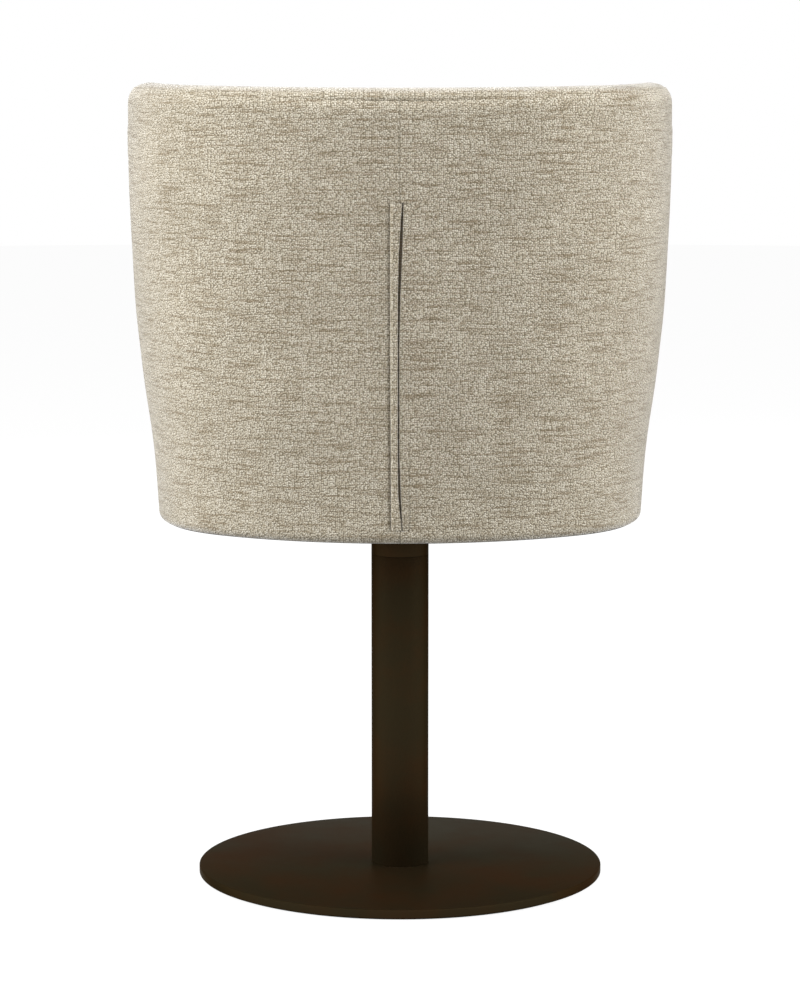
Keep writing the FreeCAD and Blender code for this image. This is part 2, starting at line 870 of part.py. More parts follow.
def make_zip_slider():
    inner_x = tooth_root + slider_gap
    outer_x = inner_x + slider_plate
    face = tooth_outer_depth() - slider_gap
    back = tooth_outer_depth() + tooth_height + slider_gap
    above_tape = tape_depth - slider_gap
    below_tape = tape_depth + tape_thickness + slider_gap
    low = slider_bottom
    high = low + slider_length
    pieces = [
        back_strip(-outer_x, outer_x, face - slider_plate, face, low, high),
        back_strip(-outer_x, outer_x, back, back + slider_plate, low, high),
        back_strip(-slider_bridge / 2.0, slider_bridge / 2.0, face, back, low, low + slider_bridge * 2.0),
    ]
    for hand in (-1, 1):
        sides = sorted((hand * inner_x, hand * outer_x))
        pieces.append(back_strip(sides[0], sides[1], face, above_tape, low, high))
        pieces.append(back_strip(sides[0], sides[1], below_tape, back, low, high))
    return fuse_all(pieces)


def main():
    back = padded_back()
    cover = make_outside_cover(back)
    placket = make_placket()
    tape = make_zip_tape()
    pieces = {
        "floor_pad": make_floor_pad(),
        "base_disc": make_base_disc(),
        "base_screws": make_base_screws(),
        "column_foot": make_column_foot(),
        "column_tube": make_column_tube(),
        "bearing_sleeve": make_bearing_sleeve(),
        "upper_bush": make_upper_bush(),
        "lower_bush": make_lower_bush(),
        "lower_race": make_lower_race(),
        "bearing_rollers": make_bearing_rollers(),
        "roller_cage": make_roller_cage(),
        "upper_race": make_upper_race(),
        "spindle": make_spindle(),
        "spindle_washer": make_spindle_washer(),
        "retaining_clip": make_retaining_clip(),
        "swivel_plate": make_swivel_plate(),
        "plate_washers": make_plate_washers(),
        "plate_bolts": make_plate_bolts(),
        "tee_nuts": make_tee_nuts(),
        "seat_board": make_seat_board(),
        "board_screws": make_board_screws(),
        "seat_ring": make_seat_ring(),
        "corner_blocks": make_corner_blocks(),
        "webbing_across": make_webbing_across(),
        "webbing_along": make_webbing_along(),
        "seat_band": make_seat_band(),
        "seat_cushion": make_seat_cushion(),
        "dust_cover": make_dust_cover(),
        "back_shell": make_back_shell(),
        "shell_screws": make_shell_screws(),
        "inside_back_pad": make_inside_back_pad(back),
        "outside_cover_left": cover,
        "outside_cover_right": mirrored(cover),
        "placket_left": placket,
        "placket_right": mirrored(placket),
        "zip_tape_left": tape,
        "zip_tape_right": mirrored(tape),
        "zip_teeth_left": make_zip_teeth(0.0),
        "zip_teeth_right": mirrored(make_zip_teeth(tooth_pitch / 2.0)),
        "zip_stop": make_zip_stop(),
        "zip_slider": make_zip_slider(),
    }
    os.makedirs("parts", exist_ok=True)
    for name, shape in pieces.items():
        shape.exportStep(f"parts/{name}.step")
        print(name, shape.isValid(), len(shape.Solids), round(shape.Volume))


main()
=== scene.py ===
"""The looks of a swivel dining chair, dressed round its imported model. Sizes are in metres."""

import json
import logging
import math
from dataclasses import dataclass, field
from enum import Enum
from typing import Callable

import bpy
import numpy as np
from bpy.types import Material, Mesh, Node, NodeSocket, Object, World, bpy_prop_collection
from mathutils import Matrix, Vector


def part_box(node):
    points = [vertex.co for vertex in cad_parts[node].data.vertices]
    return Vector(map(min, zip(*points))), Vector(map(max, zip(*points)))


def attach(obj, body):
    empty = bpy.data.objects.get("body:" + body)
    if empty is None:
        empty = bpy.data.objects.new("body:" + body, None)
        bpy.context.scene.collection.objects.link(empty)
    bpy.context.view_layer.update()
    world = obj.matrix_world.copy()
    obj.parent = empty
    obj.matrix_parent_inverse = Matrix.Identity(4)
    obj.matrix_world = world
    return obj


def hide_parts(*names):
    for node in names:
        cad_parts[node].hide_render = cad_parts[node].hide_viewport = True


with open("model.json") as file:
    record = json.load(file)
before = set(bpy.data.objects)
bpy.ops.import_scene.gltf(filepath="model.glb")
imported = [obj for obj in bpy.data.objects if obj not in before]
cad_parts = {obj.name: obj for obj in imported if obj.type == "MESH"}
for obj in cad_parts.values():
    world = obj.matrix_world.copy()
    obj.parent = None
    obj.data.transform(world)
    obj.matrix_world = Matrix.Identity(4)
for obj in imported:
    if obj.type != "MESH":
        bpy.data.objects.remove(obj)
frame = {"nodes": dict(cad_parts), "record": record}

logging.basicConfig(level=logging.INFO, format="%(message)s")
log = logging.getLogger("chair")

CLOTH_MAP = "Cloth"
SMOOTH_ANGLE = math.radians(32.0)
CRISP_ANGLE = math.radians(60.0)
SOFT_ANGLE = math.radians(80.0)
BREAK_ANGLE = math.radians(40.0)
HAIR = 0.00015
WELD = 1e-6
FLAT_TOP = 0.7
HALVINGS = 40
FILLING_FRAMES = 20
FILLING_PRESSURE = 4.0
WHITE = (1.0, 1.0, 1.0, 1.0)


class Hand(Enum):
    """The sitter's left is +X."""

    LEFT = 1
    RIGHT = -1

    @property
    def word(self) -> str:
        """The ending of this side's pieces."""
        return self.name.lower()


class Weave(Enum):
    """How a cloth map is laid on a piece."""

    WALL = "round the back"
    SEAT = "round the seat"


# Working in Blender


def select_only(piece: Object) -> None:
    """Leaves one object selected and active."""
    bpy.ops.object.select_all(action="DESELECT")
    piece.select_set(True)
    bpy.context.view_layer.objects.active = piece


def newest(name: str) -> Object:
    """Names the object that an operator has just added, and puts its place in its mesh."""
    piece = bpy.context.object
    piece.name = name
    piece.data.name = name
    bpy.ops.object.transform_apply(location=True, rotation=True, scale=True)
    return piece


def finish_modifier(piece: Object, kind: str, **settings: object) -> None:
    """Adds one modifier to a piece and applies it.

    Args:
        piece: The mesh to change.
        kind: The modifier's type.
        settings: Its settings by name.
    """
    select_only(piece)
    modifier = piece.modifiers.new(kind.lower(), kind)
    for name, value in settings.items():
        setattr(modifier, name, value)
    bpy.ops.object.modifier_apply(modifier=modifier.name)


def read_all(items: bpy_prop_collection, key: str, width: int = 3,
             kind: type = np.float32) -> np.ndarray:
    """One property of every part of a mesh.

    Args:
        items: The mesh's vertices, faces or corners.
        key: The property's name.
        width: How many numbers it holds.
        kind: The type of its numbers.

    Returns:
        One row for each part, or a plain list of single numbers.
    """
    flat = np.empty(len(items) * width, kind)
    items.foreach_get(key, flat)
    return flat.reshape(-1, width) if width > 1 else flat


def places(mesh: Mesh) -> np.ndarray:
    """Every vertex of a mesh as a row of x, y and z."""
    return read_all(mesh.vertices, "co").astype(float)


def set_places(mesh: Mesh, spots: np.ndarray) -> None:
    """Moves every vertex of a mesh."""
    mesh.vertices.foreach_set("co", spots.astype(np.float32).ravel())
    mesh.update()


def smooth(piece: Object, angle: float = SMOOTH_ANGLE) -> None:
    """Shades a piece smooth, with its sharper edges kept."""
    select_only(piece)
    bpy.ops.object.shade_smooth_by_angle(angle=angle)


def blank(name: str, columns: int, rows: int,
          shape: Callable[[np.ndarray, np.ndarray], np.ndarray]) -> Object:
    """A flat blank of cloth that is bent to its place.

    Args:
        name: The piece's name.
        columns: Faces across the blank.
        rows: Faces up the blank.
        shape: Turns shares across and up the blank, 0 to 1, into places.

    Returns:
        The bent piece.
    """
    bpy.ops.object.select_all(action="DESELECT")
    bpy.ops.mesh.primitive_grid_add(x_subdivisions=columns, y_subdivisions=rows, size=1.0)
    piece = newest(name)
    flat = places(piece.data)
    set_places(piece.data, shape(flat[:, 0] + 0.5, flat[:, 1] + 0.5))
    return piece


def turn_outwards(piece: Object, outwards: Callable[[np.ndarray], np.ndarray]) -> None:
    """Flips a sheet's faces if most of them look inwards.

    Args:
        piece: The sheet.
        outwards: Gives the outward direction at each face's middle.
    """
    polygons = piece.data.polygons
    agreed = (outwards(read_all(polygons, "center")) * read_all(polygons, "normal")).sum()
    if agreed < 0.0:
        piece.data.flip_normals()


def merged_copy(node: str, name: str) -> Object:
    """A copy of a CAD node with its loose triangles joined."""
    source = frame["nodes"][node]
    piece = bpy.data.objects.new(name, source.data.copy())
    piece.data.name = name
    piece.data.materials.clear()
    bpy.context.scene.collection.objects.link(piece)
    select_only(piece)
    bpy.ops.object.mode_set(mode="EDIT")
    bpy.ops.mesh.select_all(action="SELECT")
    bpy.ops.mesh.remove_doubles(threshold=WELD)
    bpy.ops.object.mode_set(mode="OBJECT")
    return piece


def turned(name: str, profile: list[tuple[float, float]], steps: int, ease: float) -> Object:
    """A round part, spun about the swivel axis from its half section.

    Args:
        name: The piece's name.
        profile: Radius and height of each corner of the closed half section.
        steps: Facets round the part.
        ease: How far its sharp edges are broken.

    Returns:
        The round part.
    """
    mesh = bpy.data.meshes.new(name)
    corners = [(radius, 0.0, height) for radius, height in profile]
    edges = [(index, (index + 1) % len(corners)) for index in range(len(corners))]
    mesh.from_pydata(corners, edges, [])
    piece = bpy.data.objects.new(name, mesh)
    bpy.context.scene.collection.objects.link(piece)
    select_only(piece)
    bpy.ops.object.mode_set(mode="EDIT")
    bpy.ops.mesh.select_all(action="SELECT")
    bpy.ops.mesh.spin(steps=steps, angle=2.0 * math.pi, center=(0, 0, 0), axis=(0, 0, 1))
    bpy.ops.mesh.select_all(action="SELECT")
    bpy.ops.mesh.remove_doubles(threshold=WELD)
    bpy.ops.mesh.normals_make_consistent(inside=False)
    bpy.ops.object.mode_set(mode="OBJECT")
    finish_modifier(piece, "BEVEL", width=ease, segments=2, limit_method="ANGLE",
                    angle_limit=BREAK_ANGLE)
    smooth(piece)
    return piece


def remesh(piece: Object, voxel: float, passes: int) -> None:
    """Gives a soft piece an even mesh and eases the steps out of it."""
    finish_modifier(piece, "REMESH", mode="VOXEL", voxel_size=voxel)
    finish_modifier(piece, "SMOOTH", factor=0.5, iterations=passes)


def swell(piece: Object, cap: float, held: np.ndarray) -> None:
    """Lets the filling push the cloth out, and keeps how far each point may go.

    Args:
        piece: A closed, evenly meshed piece.
        cap: The furthest that a point may move.
        held: How firmly each vertex is held, from 0 to 1.
    """
    start = places(piece.data)
    group = piece.vertex_groups.new(name="held")
    for index, weight in enumerate(held.tolist()):
        if weight > 0.0:
            group.add([index], weight, "REPLACE")
    select_only(piece)
    cloth = piece.modifiers.new("filling", "CLOTH")
    cloth.settings.use_pressure = True
    cloth.settings.uniform_pressure_force = FILLING_PRESSURE
    cloth.settings.effector_weights.gravity = 0.0
    cloth.settings.vertex_group_mass = group.name
    cloth.settings.quality = 4
    cloth.collision_settings.use_collision = False
    cloth.point_cache.frame_start = 1
    cloth.point_cache.frame_end = FILLING_FRAMES
    for step in range(1, FILLING_FRAMES + 1):
        bpy.context.scene.frame_set(step)
    bpy.ops.object.modifier_apply(modifier=cloth.name)
    bpy.context.scene.frame_set(1)
    moved = places(piece.data) - start
    length = np.linalg.norm(moved, axis=1, keepdims=True)
    share = cap * np.tanh(length / cap) / np.maximum(length, 1e-9)
    set_places(piece.data, start + moved * share)
    piece.vertex_groups.clear()


# The forms that the upholstery follows


@dataclass(frozen=True)
class WallForm:
    """The back's wall: a wide arc behind, two corner arcs and straight sides, flaring upwards."""

    hem: float = 0.3805
    top: float = 0.818
    low_half: float = 0.247
    top_half: float = 0.2795
    flare_drop: float = 0.061
    flare_round: float = 0.8
    corner_x: float = 0.097
    side_run: float = 0.067
    wing_front: float = 0.105
    wing_foot: float = 0.470
    crest_back: float = 0.062
    crest_round: float = 0.045
    sweep_round: float = 0.190
    rim_round: float = 0.019
    slim_levels: tuple[float, ...] = (0.385, 0.430, 0.465, 0.520, 0.594, 0.645, 0.690, 0.770)
    slim_shares: tuple[float, ...] = (0.022, 0.027, 0.026, 0.012, 0.006, 0.0133, 0.0197, 0.036)
    slim_steps: tuple[float, ...] = (-0.016, -0.008, 0.0, 0.008, 0.016)

    @property
    def slope(self) -> float:
        """The angle at which the wall leans out."""
        return math.atan((self.top_half - self.low_half) / (self.top - self.flare_drop - self.hem))

    @property
    def rear_y(self) -> float:
        """Where the centre of the rear arc lies."""
        corner = self.low_half - self.corner_x
        rear = self.low_half - self.side_run
        radius = (self.corner_x ** 2 + rear ** 2 - corner ** 2) / (2.0 * (rear - corner))
        return self.low_half - radius

    @property
    def rear_turn(self) -> float:
        """Half the angle of the rear arc."""
        return math.atan2(self.corner_x, self.side_run - self.rear_y)

    @property
    def length(self) -> float:
        """Half the way round the wall at the hem."""
        rear = self.rear_turn * (self.low_half - self.rear_y)
        corner = (math.pi / 2.0 - self.rear_turn) * (self.low_half - self.corner_x)
        return rear + corner + self.side_run + self.wing_front

    def reach(self, z: np.ndarray) -> np.ndarray:
        """How far the outer face is from the axis at each level."""
        high = self.top - self.flare_drop + self.flare_round * math.tan(self.slope / 2.0)
        low = high - self.flare_round * math.sin(self.slope)
        straight = self.low_half + (z - self.hem) * math.tan(self.slope)
        over = np.clip(high - z, 0.0, self.flare_round)
        bent = self.top_half - self.flare_round + np.sqrt(self.flare_round ** 2 - over ** 2)
        return np.where(z > low, bent, straight)

    def slimming(self, y: np.ndarray, z: np.ndarray) -> np.ndarray:
        """How much narrower the stretched cover is than the square plan, less towards the wings' fronts."""
        shares = [np.interp(z + step, self.slim_levels, self.slim_shares) for step in self.slim_steps]
        share = sum(shares) / len(shares)
        return share * self.towards_rear(y)

    def towards_rear(self, y: np.ndarray) -> np.ndarray:
        """A share that grows from 0 at the wings' front edges to 1 where the corners start."""
        share = np.clip((y + self.wing_front) / (self.side_run + self.wing_front), 0.0, 1.0)
        return np.sin(share * math.pi / 2.0)

    def place(self, along: np.ndarray, depth: np.ndarray, z: np.ndarray) -> np.ndarray:
        """Places under the outer face.

        Args:
            along: The way round from the centre back, measured at the hem.
            depth: How far under the outer face.
            z: The level.

        Returns:
            One row of x, y and z for each point.
        """
        reach = self.reach(z) - depth
        rear_length = self.rear_turn * (self.low_half - self.rear_y)
        corner_turn = math.pi / 2.0 - self.rear_turn
        corner_length = corner_turn * (self.low_half - self.corner_x)
        way = np.abs(along)
        rear = np.minimum(way / rear_length, 1.0) * self.rear_turn
        corner = np.clip((way - rear_length) / corner_length, 0.0, 1.0) * corner_turn
        side = np.maximum(way - rear_length - corner_length, 0.0)
        turn = self.rear_turn + corner
        behind = way <= rear_length
        x = np.where(behind, (reach - self.rear_y) * np.sin(rear),
                     self.corner_x + (reach - self.corner_x) * np.sin(turn))
        y = np.where(behind, self.rear_y + (reach - self.rear_y) * np.cos(rear),
                     self.side_run + (reach - self.corner_x) * np.cos(turn) - side)
        return np.stack([np.sign(along) * x * (1.0 - self.slimming(y, z)), y, z], axis=1)

    def read(self, spots: np.ndarray) -> tuple[np.ndarray, np.ndarray, np.ndarray]:
        """The true way round, the depth and the outward direction at each place."""
        y, z = spots[:, 1], spots[:, 2]
        x = np.abs(spots[:, 0]) / (1.0 - self.slimming(y, z))
        from_rear = np.arctan2(x, y - self.rear_y)
        rear_reach = np.hypot(x, y - self.rear_y) + self.rear_y
        from_corner = np.arctan2(x - self.corner_x, y - self.side_run)
        corner_reach = np.hypot(x - self.corner_x, y - self.side_run) + self.corner_x
        behind = from_rear <= self.rear_turn
        beside = ~behind & (y < self.side_run)
        reach = np.where(behind, rear_reach, np.where(beside, x, corner_reach))
        rear_length = self.rear_turn * (reach - self.rear_y)
        corner_turn = np.clip(from_corner - self.rear_turn, 0.0, math.pi / 2.0 - self.rear_turn)
        along = np.where(behind, from_rear * (reach - self.rear_y), rear_length)
        along = along + np.where(behind, 0.0, corner_turn * (reach - self.corner_x))
        along = along + np.where(beside, self.side_run - y, 0.0)
        turn = np.where(behind, from_rear, np.where(beside, math.pi / 2.0, from_corner))
        side = np.sign(spots[:, 0])
        outwards = np.stack([side * np.sin(turn), np.cos(turn), np.zeros_like(turn)], axis=1)
        return side * along, self.reach(z) - reach, outwards

    def inside(self, y: np.ndarray, z: np.ndarray) -> np.ndarray:
        """How far a point of the side view lies inside the outline of top line and wings."""
        run = self.crest_back + self.wing_front
        rise = self.top - self.wing_foot
        length = math.hypot(run, rise)
        front = y + self.wing_front
        sloping = (front * rise - (z - self.wing_foot) * run) / length
        crest = self.top - z
        distance = np.minimum(np.minimum(front, sloping), crest)
        corners = ((front, sloping, rise / length, self.sweep_round),
                   (sloping, crest, run / length, self.crest_round))
        for first, second, meeting, radius in corners:
            one = (radius - first) - meeting * (radius - second)
            two = (radius - second) - meeting * (radius - first)
            scale = 1.0 - meeting ** 2
            out = np.sqrt(np.maximum(one ** 2 + two ** 2 + 2.0 * meeting * one * two, 0.0)) / scale
            distance = np.where((one > 0.0) & (two > 0.0), radius - out, distance)
        return distance

    def highest(self, y: np.ndarray, inset: np.ndarray) -> np.ndarray:
        """The level at which a line up the side view comes to an inset of the outline."""
        low = np.full_like(y, self.hem)
        high = np.full_like(y, self.top)
        for _ in range(HALVINGS):
            middle = (low + high) / 2.0
            within = self.inside(y, middle) > inset
            low = np.where(within, middle, low)
            high = np.where(within, high, middle)
        return low

    def eased(self, distance: np.ndarray) -> np.ndarray:
        """How deep the rounded rim lies under the outer face at a distance from the outline."""
        short = np.clip(self.rim_round - distance, 0.0, self.rim_round)
        return self.rim_round - np.sqrt(self.rim_round ** 2 - short ** 2)


@dataclass(frozen=True)
class SeatForm:
    """The seat's front outline: a shallow bow, two corner arcs and straight sides."""

    side: float = 0.248
    front: float = 0.285
    bow: float = 0.900
    corner: float = 0.085

    def read(self, spots: np.ndarray) -> np.ndarray:
        """The way round the front from its middle, for each place."""
        x, y = np.abs(spots[:, 0]), spots[:, 1]
        corner_x = self.side - self.corner
        bow_y = self.bow - self.front
        corner_y = bow_y - math.sqrt((self.bow - self.corner) ** 2 - corner_x ** 2)
        widest = math.atan2(corner_x, bow_y - corner_y)
        on_bow = np.minimum(np.arctan2(x, bow_y - y), widest)
        turn = np.clip(np.arctan2(x - corner_x, corner_y - y), widest, math.pi / 2.0)
        on_corner = (turn - widest) * (x > corner_x)
        way = self.bow * on_bow + self.corner * on_corner + np.maximum(y - corner_y, 0.0)
        return np.sign(spots[:, 0]) * way


def finish_cloth(piece: Object, angle: float, weave: Weave, form: WallForm, seat: SeatForm) -> None:
    """Shades a piece smooth and gives it the cloth map that its weave follows: metres along weft and warp.

    Args:
        piece: The finished mesh.
        angle: The angle past which an edge stays sharp.
        weave: Whether the cloth goes round the back or round the seat.
        form: The back's wall.
        seat: The seat's outline.
    """
    smooth(piece, angle)
    mesh = piece.data
    spots = places(mesh)
    normals = read_all(mesh.polygons, "normal")
    level = np.abs(normals[:, 2])
    z = spots[:, 2]
    if weave is Weave.WALL:
        along, depth, _ = form.read(spots)
        _, _, outwards = form.read(read_all(mesh.polygons, "center"))
        radial = np.abs((normals * outwards).sum(axis=1))
        endways = np.sqrt(np.maximum(1.0 - radial ** 2 - level ** 2, 0.0))
        choices = [np.stack(pair, 1) for pair in ((along, z), (along, z.max() - depth), (depth, z))]
        pick = np.argmax(np.stack([radial, level, endways], 1), axis=1)
    else:
        choices = [np.stack([seat.read(spots), z], 1), spots[:, :2]]
        pick = (level > FLAT_TOP).astype(int)
    face = np.repeat(pick, read_all(mesh.polygons, "loop_total", 1, np.int32))
    corners = read_all(mesh.loops, "vertex_index", 1, np.int32)
    laid = np.zeros((len(corners), 2))
    for index, choice in enumerate(choices):
        chosen = face == index
        laid[chosen] = choice[corners[chosen]]
    layer = mesh.uv_layers.new(name=CLOTH_MAP)
    layer.data.foreach_set("uv", laid.astype(np.float32).ravel())


# Finishes


def linear(colour: str) -> tuple[float, float, float, float]:
    """An sRGB hex colour as the linear colour that a shader takes."""
    shares = [int(colour[place:place + 2], 16) / 255.0 for place in (1, 3, 5)]
    red, green, blue = [
        share / 12.92 if share <= 0.04045 else ((share + 0.055) / 1.055) ** 2.4 for share in shares
    ]
    return red, green, blue, 1.0


def span(value: object, low: float, high: float, first: float = 0.0, last: float = 1.0) -> dict:
    """What a Map Range node takes to turn low and high into first and last."""
    return {0: value, 1: low, 2: high, 3: first, 4: last}


class Shading:
    """The shader nodes of a material or of the surround."""

    def __init__(self, owner: Material | World) -> None:
        """Starts with no nodes."""
        owner.use_nodes = True
        self.tree = owner.node_tree
        self.tree.nodes.clear()

    @staticmethod
    def usable(sockets: bpy_prop_collection, key: int | str) -> NodeSocket:
        """A socket by name, or by its place among those in use."""
        found = [socket for socket in sockets if socket.enabled]
        return found[key] if isinstance(key, int) else next(socket for socket in found if socket.name == key)

    def add(self, kind: str, inputs: dict | None = None, **settings: object) -> Node:
        """Adds a node with its settings and links.

        Args:
            kind: The node's type, without ShaderNode in front.
            inputs: For each input, a value, or the node or socket that feeds it.
            settings: The node's own settings.

        Returns:
            The new node.
        """
        node = self.tree.nodes.new(f"ShaderNode{kind}")
        for name, value in settings.items():
            setattr(node, name, value)
        for key, value in (inputs or {}).items():
            socket = self.usable(node.inputs, key)
            if isinstance(value, Node):
                value = self.usable(value.outputs, 0)
            if isinstance(value, NodeSocket):
                self.tree.links.new(value, socket)
            else:
                socket.default_value = value
        return node

    def seen_plainly(self) -> Node:
        """1 where the camera, a reflection or clear matter sees the surface, and 0 where only light does."""
        rays = self.add("LightPath").outputs
        seen = rays["Is Camera Ray"]
        for kind in ("Is Glossy Ray", "Is Transmission Ray"):
            seen = self.add("Math", {0: seen, 1: rays[kind]}, operation="MAXIMUM")
        return seen


@dataclass(frozen=True)
class Finish:
    """What every finish shares: a name, and a material made of what it draws."""

    name: str

    def make(self) -> Material:
        """The material."""
        material = bpy.data.materials.new(self.name)
        nodes = Shading(material)
        shader = nodes.add("BsdfPrincipled", self.draw(nodes))
        nodes.add("OutputMaterial", {"Surface": shader})
        return material

    def draw(self, nodes: Shading) -> dict:
        """The shader's inputs, drawn on object coordinates unless the finish says otherwise."""
        raise NotImplementedError

    def mottled(self, nodes: Shading, noise: dict, limits: tuple[float, float],
                colours: tuple[str, str]) -> tuple[Node, Node]:
        """Two colours in patches: their noise, and the colour mixed between its two limits."""
        patches = nodes.add("TexNoise", noise)
        share = nodes.add("MapRange", span(patches, *limits))
        first, second = map(linear, colours)
        return patches, nodes.add("Mix", {0: share, "A": first, "B": second}, data_type="RGBA")

    def grained(self, nodes: Shading, noise: dict, strength: float) -> tuple[Node, Node]:
        """A fine grain: its noise and its relief, a tenth of a millimetre deep."""
        grain = nodes.add("TexNoise", noise)
        return grain, nodes.add("Bump", {"Strength": strength, "Distance": 0.0001, "Height": grain})


@dataclass(frozen=True)
class Chenille(Finish):
    """Slubby woven chenille: rice-grain knots in rows, streaked with darker weft, light at a glancing angle.

    It is drawn on the cloth map, in metres. The densities are turns per metre along the weft and up the warp: a
    weft yarn keeps its colour for some centimetres, so a streak is one or two rows high.
    """

    name: str = "woven_chenille"
    knot: float = 0.0020
    pick: float = 0.0016
    knot_chance: float = 0.70
    wander_scale: float = 45.0
    wander: tuple[float, float, float] = (0.0020, 0.0026, 0.0)
    streak_density: tuple[float, float, float] = (22.0, 300.0, 0.0)
    dash_density: tuple[float, float, float] = (95.0, 520.0, 0.0)
    end_density: tuple[float, float, float] = (240.0, 40.0, 0.0)
    cloud_scale: float = 14.0
    fuzz_scale: float = 1600.0
    light: str = "#CDC6B6"
    body: str = "#B2A996"
    slub: str = "#7D6C52"
    # Painted shade colour for the hollows between the knots.
    gap: str = "#59513F"
    # Painted highlight colour for the knots' crowns.
    tip: str = "#F4F0E7"
    sheen: str = "#F5F5F6"

    def draw(self, nodes: Shading) -> dict:
        """The shader's inputs, drawn on the cloth map."""
        cloth = nodes.add("UVMap", uv_map=CLOTH_MAP)
        chance, knot = self.draw_knots(nodes, cloth)
        colour = self.draw_ground(nodes, cloth, chance)
        slubs = nodes.add("Math", {0: self.draw_streaks(nodes, cloth), 1: 0.72}, operation="MULTIPLY")
        # Painted shade: the hollows between the knots are darkened towards the shade colour.
        knot_shade_share = nodes.add("MapRange", span(knot, 0.14, 0.50, 0.78, 0.0))
        # Painted highlight: the knots' crowns are lightened towards a near-white colour.
        knot_highlight_share = nodes.add("MapRange", span(knot, 0.62, 0.95, 0.0, 0.60))
        for share, over in ((slubs, self.slub), (knot_shade_share, self.gap), (knot_highlight_share, self.tip)):
            colour = nodes.add("Mix", {0: share, "A": colour, "B": linear(over)}, data_type="RGBA")
        fuzz = nodes.add("TexNoise", {"Vector": cloth, "Scale": self.fuzz_scale, "Detail": 2.0},
                         noise_dimensions="2D")
        height = nodes.add("Math", {0: fuzz, 1: 0.35, 2: knot}, operation="MULTIPLY_ADD")
        relief = nodes.add("Bump", {"Strength": 0.85, "Distance": 0.0007, "Height": height})
        return {"Base Color": colour, "Roughness": 0.95, "Specular IOR Level": 0.15, "Normal": relief,
                "Sheen Weight": 0.80, "Sheen Roughness": 0.36, "Sheen Tint": linear(self.sheen)}

    def draw_knots(self, nodes: Shading, cloth: Node) -> tuple[Node, Node]:
        """The knots: each one's own chance, as a split colour, and how high it stands, from 0 to 1."""
        drift = nodes.add("TexNoise", {"Vector": cloth, "Scale": self.wander_scale, "Detail": 2.0})
        shift = nodes.add("VectorMath", {0: drift.outputs["Color"], 1: (0.5, 0.5, 0.5)}, operation="SUBTRACT")
        shift = nodes.add("VectorMath", {0: shift, 1: self.wander}, operation="MULTIPLY")
        bent = nodes.add("VectorMath", {0: cloth, 1: shift}, operation="ADD")
        counts = (1.0 / self.knot, 1.0 / self.pick, 0.0)
        knots = nodes.add("VectorMath", {0: bent, 1: counts}, operation="MULTIPLY")
        cells = nodes.add("TexVoronoi", {"Vector": knots, "Scale": 1.0, "Randomness": self.knot_chance},
                          voronoi_dimensions="2D")
        chance = nodes.add("SeparateColor", {0: cells.outputs["Color"]})
        arch = nodes.add("MapRange", span(cells.outputs["Distance"], 0.08, 0.74, 1.0, 0.0))
        row = nodes.add("SeparateXYZ", {0: knots})
        row = nodes.add("Math", {0: row.outputs[1], 1: 2.0 * math.pi}, operation="MULTIPLY")
        row = nodes.add("Math", {0: row}, operation="SINE")
        row = nodes.add("MapRange", span(row, -1.0, 1.0, 0.74, 1.0))
        plump = nodes.add("MapRange", span(chance.outputs["Red"], 0.0, 1.0, 0.62, 1.0))
        knot = nodes.add("Math", {0: arch, 1: row}, operation="MULTIPLY")
        return chance, nodes.add("Math", {0: knot, 1: plump}, operation="MULTIPLY")

    def stretched(self, nodes: Shading, cloth: Node, density: tuple[float, float, float],
                  **noise: float) -> Node:
        """Noise drawn out along the weft or the warp."""
        yarn = nodes.add("VectorMath", {0: cloth, 1: density}, operation="MULTIPLY")
        return nodes.add("TexNoise", {"Vector": yarn, "Scale": 1.0, **noise}, noise_dimensions="2D")

    def draw_streaks(self, nodes: Shading, cloth: Node) -> Node:
        """How far the weft is the darker yarn: long streaks, and short dashes between them."""
        streak = self.stretched(nodes, cloth, self.streak_density, Detail=3.0, Roughness=0.66)
        streak = nodes.add("MapRange", span(streak, 0.50, 0.68))
        dash = self.stretched(nodes, cloth, self.dash_density, Detail=1.0)
        dash = nodes.add("MapRange", span(dash, 0.60, 0.74, 0.0, 0.8))
        return nodes.add("Math", {0: streak, 1: dash}, operation="MAXIMUM")

    def draw_ground(self, nodes: Shading, cloth: Node, chance: Node) -> Node:
        """The ground colour, knot by knot, with its warp ends and a faint clouding."""
        warp = self.stretched(nodes, cloth, self.end_density, Detail=2.0)
        warp = nodes.add("MapRange", span(warp, 0.35, 0.65, 0.0, 0.35))
        mixed = nodes.add("Math", {0: chance.outputs["Green"], 1: warp}, operation="ADD")
        ground = nodes.add("Mix", {0: mixed, "A": linear(self.light), "B": linear(self.body)}, data_type="RGBA")
        cloudy = nodes.add("TexNoise", {"Vector": cloth, "Scale": self.cloud_scale, "Detail": 3.0},
                           noise_dimensions="2D")
        tone = nodes.add("MapRange", span(cloudy, 0.3, 0.7, 0.94, 1.05))
        return nodes.add("Mix", {0: 1.0, "A": ground, "B": tone}, data_type="RGBA", blend_type="MULTIPLY")


@dataclass(frozen=True)
class PowderCoat(Finish):
    """Dark bronze powder coat on steel: a satin metallic skin, fine orange peel and faint brown clouding."""

    name: str = "bronze_powder_coat"
    deep: str = "#2B2417"
    warm: str = "#332314"
    edge: str = "#A6A6A1"
    metallic: float = 0.55
    roughness: float = 0.36

    def draw(self, nodes: Shading) -> dict:
        """The shader's inputs."""
        here = nodes.add("TexCoord").outputs["Object"]
        noise = {"Vector": here, "Scale": 9.0, "Detail": 5.0, "Roughness": 0.6}
        clouds, colour = self.mottled(nodes, noise, (0.40, 0.66), (self.deep, self.warm))
        rough = nodes.add("MapRange", span(clouds, 0.3, 0.7, self.roughness - 0.03, self.roughness + 0.05))
        _, relief = self.grained(nodes, {"Vector": here, "Scale": 1400.0, "Detail": 2.0}, 0.12)
        return {"Base Color": colour, "Metallic": self.metallic, "Roughness": rough, "Normal": relief,
                "Specular IOR Level": 0.0, "Specular Tint": linear(self.edge)}


